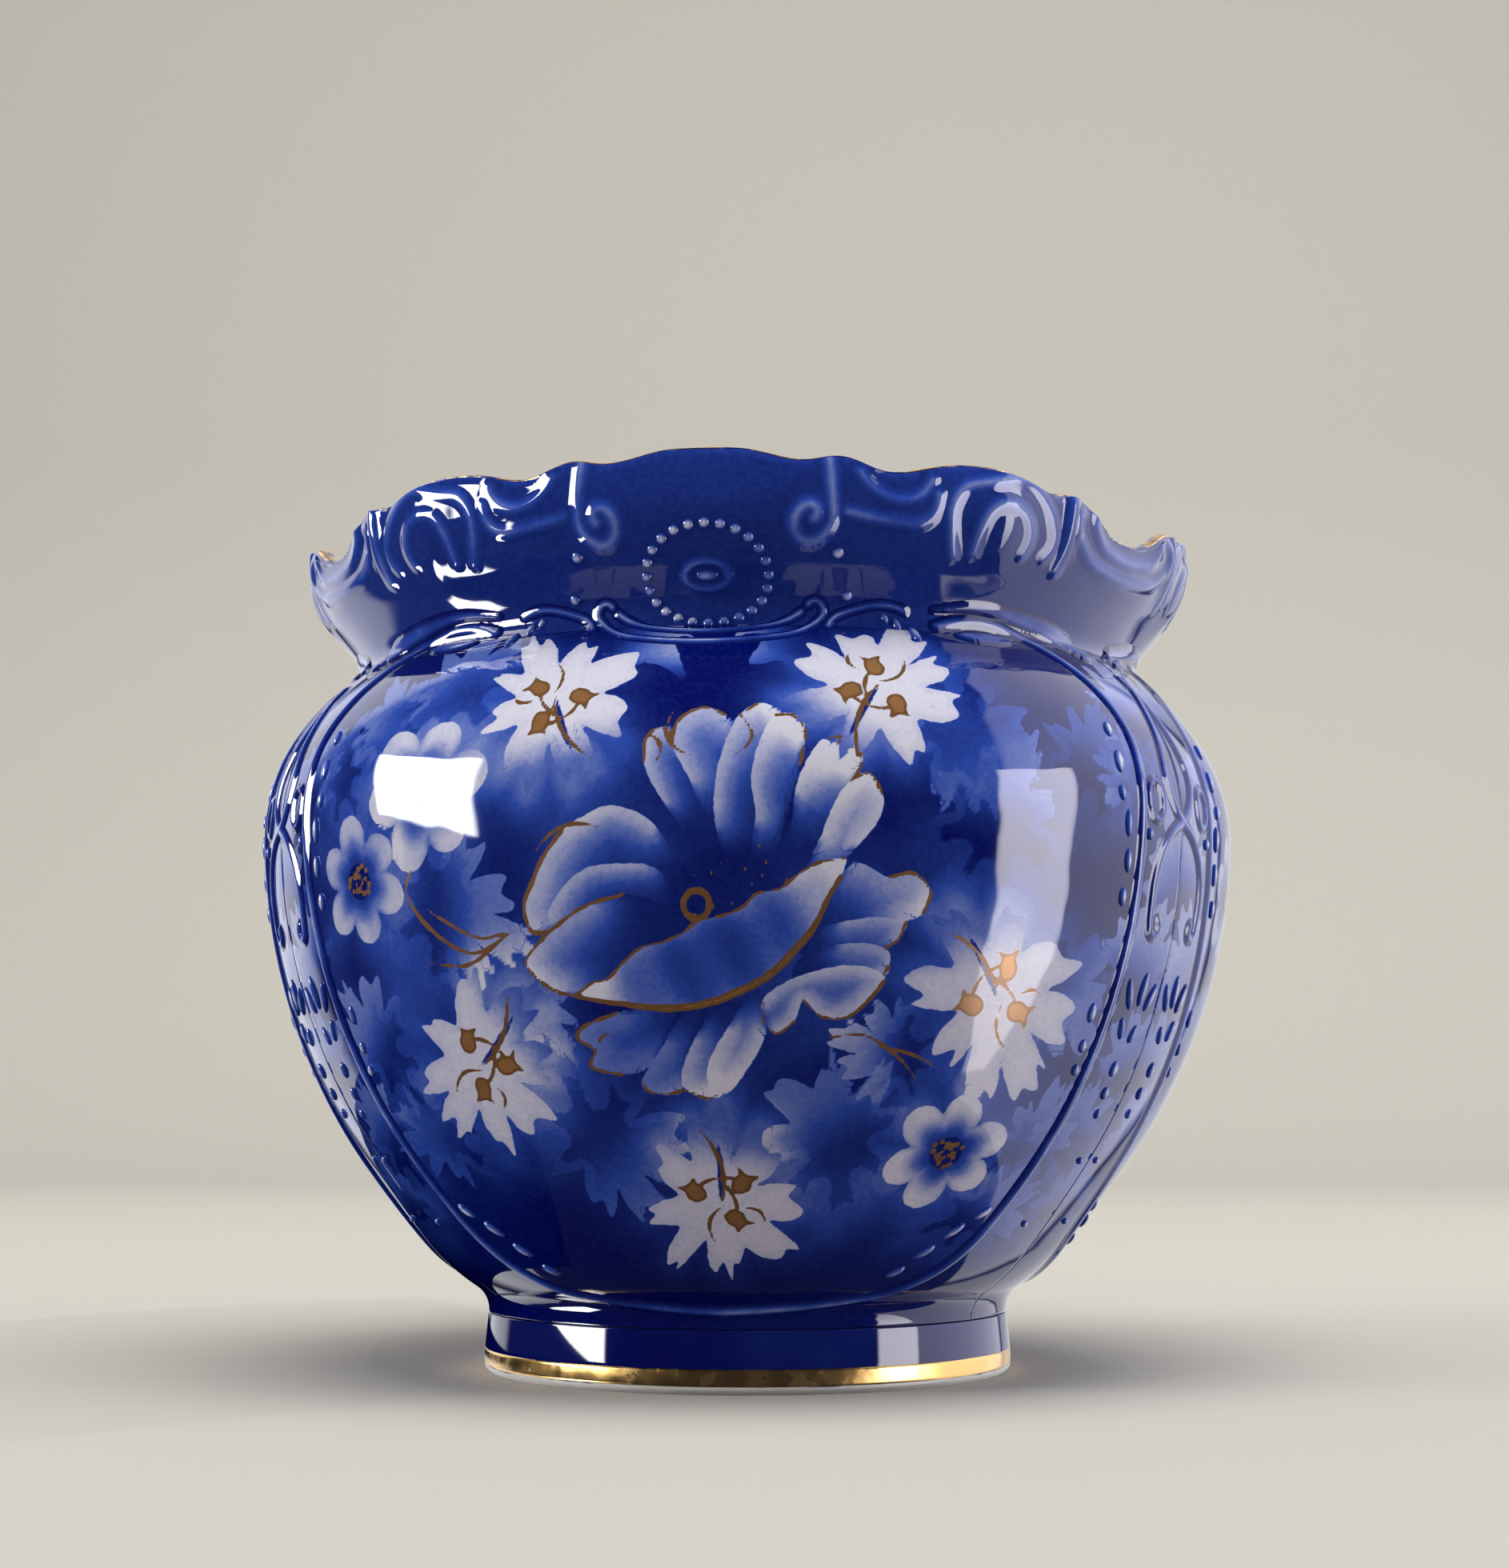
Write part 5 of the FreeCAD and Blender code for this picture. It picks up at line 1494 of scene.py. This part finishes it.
# Glowing cards: colour, feather of the ends, distance in millimetres, and rows from below. A row has
# the directions of its left and right end, each as degrees round from the front and up, and its glow
CARDS = (
    ("window_card", WHITE, 0.02, 6000.0, ((-86, 5, -57, -1, 24), (-97, 27, -61, 27, 24))),
    ("floor_light_card", WHITE, 0.1, 6000.0, ((-104, -50, -84, -50, 20), (-109, -36, -80, -36, 20))),
    ("panel_card", (1.0, 0.96, 1.0), 0.06, 6000.0, (
        (73, -42, 79, -40, 5), (65, -30, 81, -33, 6), (63, -16, 83, -13, 9), (61, -2, 83, 0, 10),
        (64, 21, 87, 23, 10))),
    ("right_veil_card", (0.97, 0.95, 1.0), 0.03, 6600.0, (
        (72, -46, 150, -46, 1.3), (66, -10, 150, -10, 1.8), (66, 20, 150, 20, 2.1),
        (68, 31, 150, 31, 2.1), (77, 47, 150, 47, 1.8), (106, 60, 150, 58, 1.5))),
    ("back_card", VEIL, 0.01, 6600.0, ((150, -46, 206, -46, 0.8), (150, 60, 206, 60, 0.9))),
    ("left_veil_card", VEIL, 0.2, 6600.0, ((206, -46, 240, -46, 1.4), (206, 50, 240, 50, 1.6))),
)


def backdrop(colour):
    """A floor that curves up into the backdrop, and throws less light at the pot than it shows."""
    bend = [(FLOOR_FRONT, 0.0)]
    bend += [(CURVE_START + CURVE_R * math.sin(t), CURVE_R - CURVE_R * math.cos(t))
             for t in np.linspace(0, math.pi / 2, 13)]
    bend.append((CURVE_START + CURVE_R, BACKDROP_TOP))
    places = [(x, y, z) for y, z in bend for x in (-HALF_WIDTH, HALF_WIDTH)]
    faces = [(2 * k, 2 * k + 1, 2 * k + 3, 2 * k + 2) for k in range(len(bend) - 1)]
    floor = new_piece("floor", np.array(places) / MM, faces)
    material, tree, shader = new_material("backdrop")
    place = add(tree, "ShaderNodeSeparateXYZ", {0: add(tree, "ShaderNodeTexCoord").outputs["Object"]})
    # Painted shade: the floor's colour grows darker towards the camera
    depth = mapped(tree, place.outputs["Y"], SHADE_START, CURVE_START)
    shade = mixed(tree, depth, dimmed(colour, NEAR_SHADE), colour)
    rays = add(tree, "ShaderNodeLightPath")
    tree.links.new(mixed(tree, rays.outputs["Is Diffuse Ray"], shade, BOUNCE), shader.inputs["Base Color"])
    shader.inputs["Roughness"].default_value = 0.9
    shader.inputs["Specular IOR Level"].default_value = 0.1
    floor.data.materials.append(material)
    floor.visible_glossy = False


def studio_world():
    """Pale even light from all round, that the glaze mirrors as nearly black."""
    world = bpy.data.worlds.new("Studio")
    bpy.context.scene.world = world
    world.use_nodes = True
    tree = world.node_tree
    tree.nodes.clear()
    rays = add(tree, "ShaderNodeLightPath")
    tone = mixed(tree, rays.outputs["Is Glossy Ray"], AMBIENT, MIRRORED)
    glow = add(tree, "ShaderNodeBackground", {"Color": tone, "Strength": AMBIENT_STRENGTH})
    out = tree.nodes.new("ShaderNodeOutputWorld")
    tree.links.new(glow.outputs[0], out.inputs["Surface"])


def softbox(name, place, target_h, size, power, colour):
    """A soft lamp towards the pot's axis, for the colours; the glaze mirrors the cards instead."""
    light = bpy.data.lights.new(name, "AREA")
    light.shape, light.size, light.size_y = "RECTANGLE", *size
    light.energy, light.color = power, colour
    lamp = bpy.data.objects.new(name, light)
    lamp.location = place
    lamp.rotation_euler = (Vector((0, 0, target_h)) - Vector(place)).to_track_quat("-Z", "Y").to_euler()
    lamp.visible_glossy = False
    bpy.context.scene.collection.objects.link(lamp)


def card(name, colour, feather, far, rows):
    """A glowing patch far round the pot, which only the glaze's reflections see."""
    steps, share = np.linspace(0, len(rows) - 1, 8 * (len(rows) - 1) + 1), np.linspace(0, 1, 25)
    left, left_up, right, right_up, glow = (
        np.interp(steps, np.arange(len(rows)), column)[:, None] for column in np.array(rows, dtype=float).T)
    turn = np.radians(left + (right - left) * share)
    tilt = np.radians(left_up + (right_up - left_up) * share)
    places = round_axis(far * np.cos(tilt), turn, CARD_CENTRE + far * np.sin(tilt))
    bright = glow * ramp(np.minimum(share, 1 - share), 0.0, feather)
    faces = grid_faces(len(steps), len(share))
    glowing(new_piece(name, places.reshape(-1, 3), faces, {"glow": bright.ravel()}), colour)


def glowing(patch, colour):
    """Gives a patch its glow, and hides it from all but reflections."""
    material, tree, shader = new_material(patch.name)
    material.cycles.emission_sampling = "NONE"
    shader.inputs["Base Color"].default_value = (0, 0, 0, 1)
    shader.inputs["Specular IOR Level"].default_value = 0.0
    shader.inputs["Emission Color"].default_value = rgba(colour)
    tree.links.new(value_of(tree, "glow"), shader.inputs["Emission Strength"])
    patch.data.materials.append(material)
    for sight in ("camera", "diffuse", "transmission", "volume_scatter", "shadow"):
        setattr(patch, "visible_" + sight, False)


def dark_edge():
    """A black patch on the floor round the left of the foot, which only reflections see."""
    phi = np.radians(np.linspace(*DARK_SPAN, 20))
    places = np.concatenate([round_axis(share * DARK_R, phi, 0.5) for share in (0.3, 1.0)])
    glowing(new_piece("table_edge_card", places, grid_faces(2, 20)), (0.0, 0.0, 0.0))


def fitted_camera(focal_length):
    """The camera from which the pot shows as in the photograph."""
    data = bpy.data.cameras.new("camera")
    data.sensor_fit, data.sensor_width, data.lens = "HORIZONTAL", SENSOR, focal_length
    camera = bpy.data.objects.new("camera", data)
    turn = math.radians(CAMERA_TURN)
    camera.location = (CAMERA_FAR * math.sin(turn), -CAMERA_FAR * math.cos(turn), CAMERA_H)
    camera.rotation_euler = (math.radians(CAMERA_TILT), 0.0, math.radians(CAMERA_YAW))
    bpy.context.scene.collection.objects.link(camera)
    bpy.context.scene.camera = camera


class JARDINIERE_OT_stage(bpy.types.Operator):
    """Build the floor, the backdrop, the soft lights with their reflections and the camera"""

    bl_idname = "jardiniere.stage"
    bl_label = "Stage"

    def execute(self, context):
        s = context.scene.jardiniere_stage
        backdrop(s.backdrop)
        studio_world()
        softbox("left_window", (-1.85, -0.72, 0.56), target_h=0.14, size=(0.62, 0.42), power=s.key,
                colour=WARM)
        softbox("right_panel", (1.95, -0.05, 0.15), target_h=0.12, size=(1.1, 1.5), power=s.fill,
                colour=COOL)
        softbox("top_light", (0.2, -0.5, 2.2), target_h=0.1, size=(1.6, 1.2), power=s.top, colour=WARM)
        for row in CARDS:
            card(*row)
        dark_edge()
        fitted_camera(s.lens)
        context.scene.view_settings.view_transform = "Standard"
        return {"FINISHED"}


class JARDINIERE_PT_panel(bpy.types.Panel):
    """Sizes and colours of the jardiniere, and its pieces"""

    bl_idname = "JARDINIERE_PT_panel"
    bl_label = "Jardiniere"
    bl_space_type = "VIEW_3D"
    bl_region_type = "UI"
    bl_category = "Jardiniere"

    def draw(self, context):
        for group in (context.scene.jardiniere, context.scene.jardiniere_stage):
            box = self.layout.box()
            for key in group.bl_rna.properties.keys():
                if key not in ("rna_type", "name"):
                    box.prop(group, key)
        for operator in OPERATORS:
            self.layout.operator(operator.bl_idname)


OPERATORS = (
    JARDINIERE_OT_foot, JARDINIERE_OT_bowl, JARDINIERE_OT_collar, JARDINIERE_OT_body_relief,
    JARDINIERE_OT_rim_relief, JARDINIERE_OT_beads, JARDINIERE_OT_stage,
)
CLASSES = (JardiniereSettings, StageSettings) + OPERATORS + (JARDINIERE_PT_panel,)


def register():
    for cls in CLASSES:
        bpy.utils.register_class(cls)
    bpy.types.Scene.jardiniere = PointerProperty(type=JardiniereSettings)
    bpy.types.Scene.jardiniere_stage = PointerProperty(type=StageSettings)


def unregister():
    del bpy.types.Scene.jardiniere_stage
    del bpy.types.Scene.jardiniere
    for cls in reversed(CLASSES):
        bpy.utils.unregister_class(cls)


def main():
    register()
    for operator in OPERATORS:
        group, name = operator.bl_idname.split(".")
        getattr(getattr(bpy.ops, group), name)()


if __name__ == "__main__":
    main()
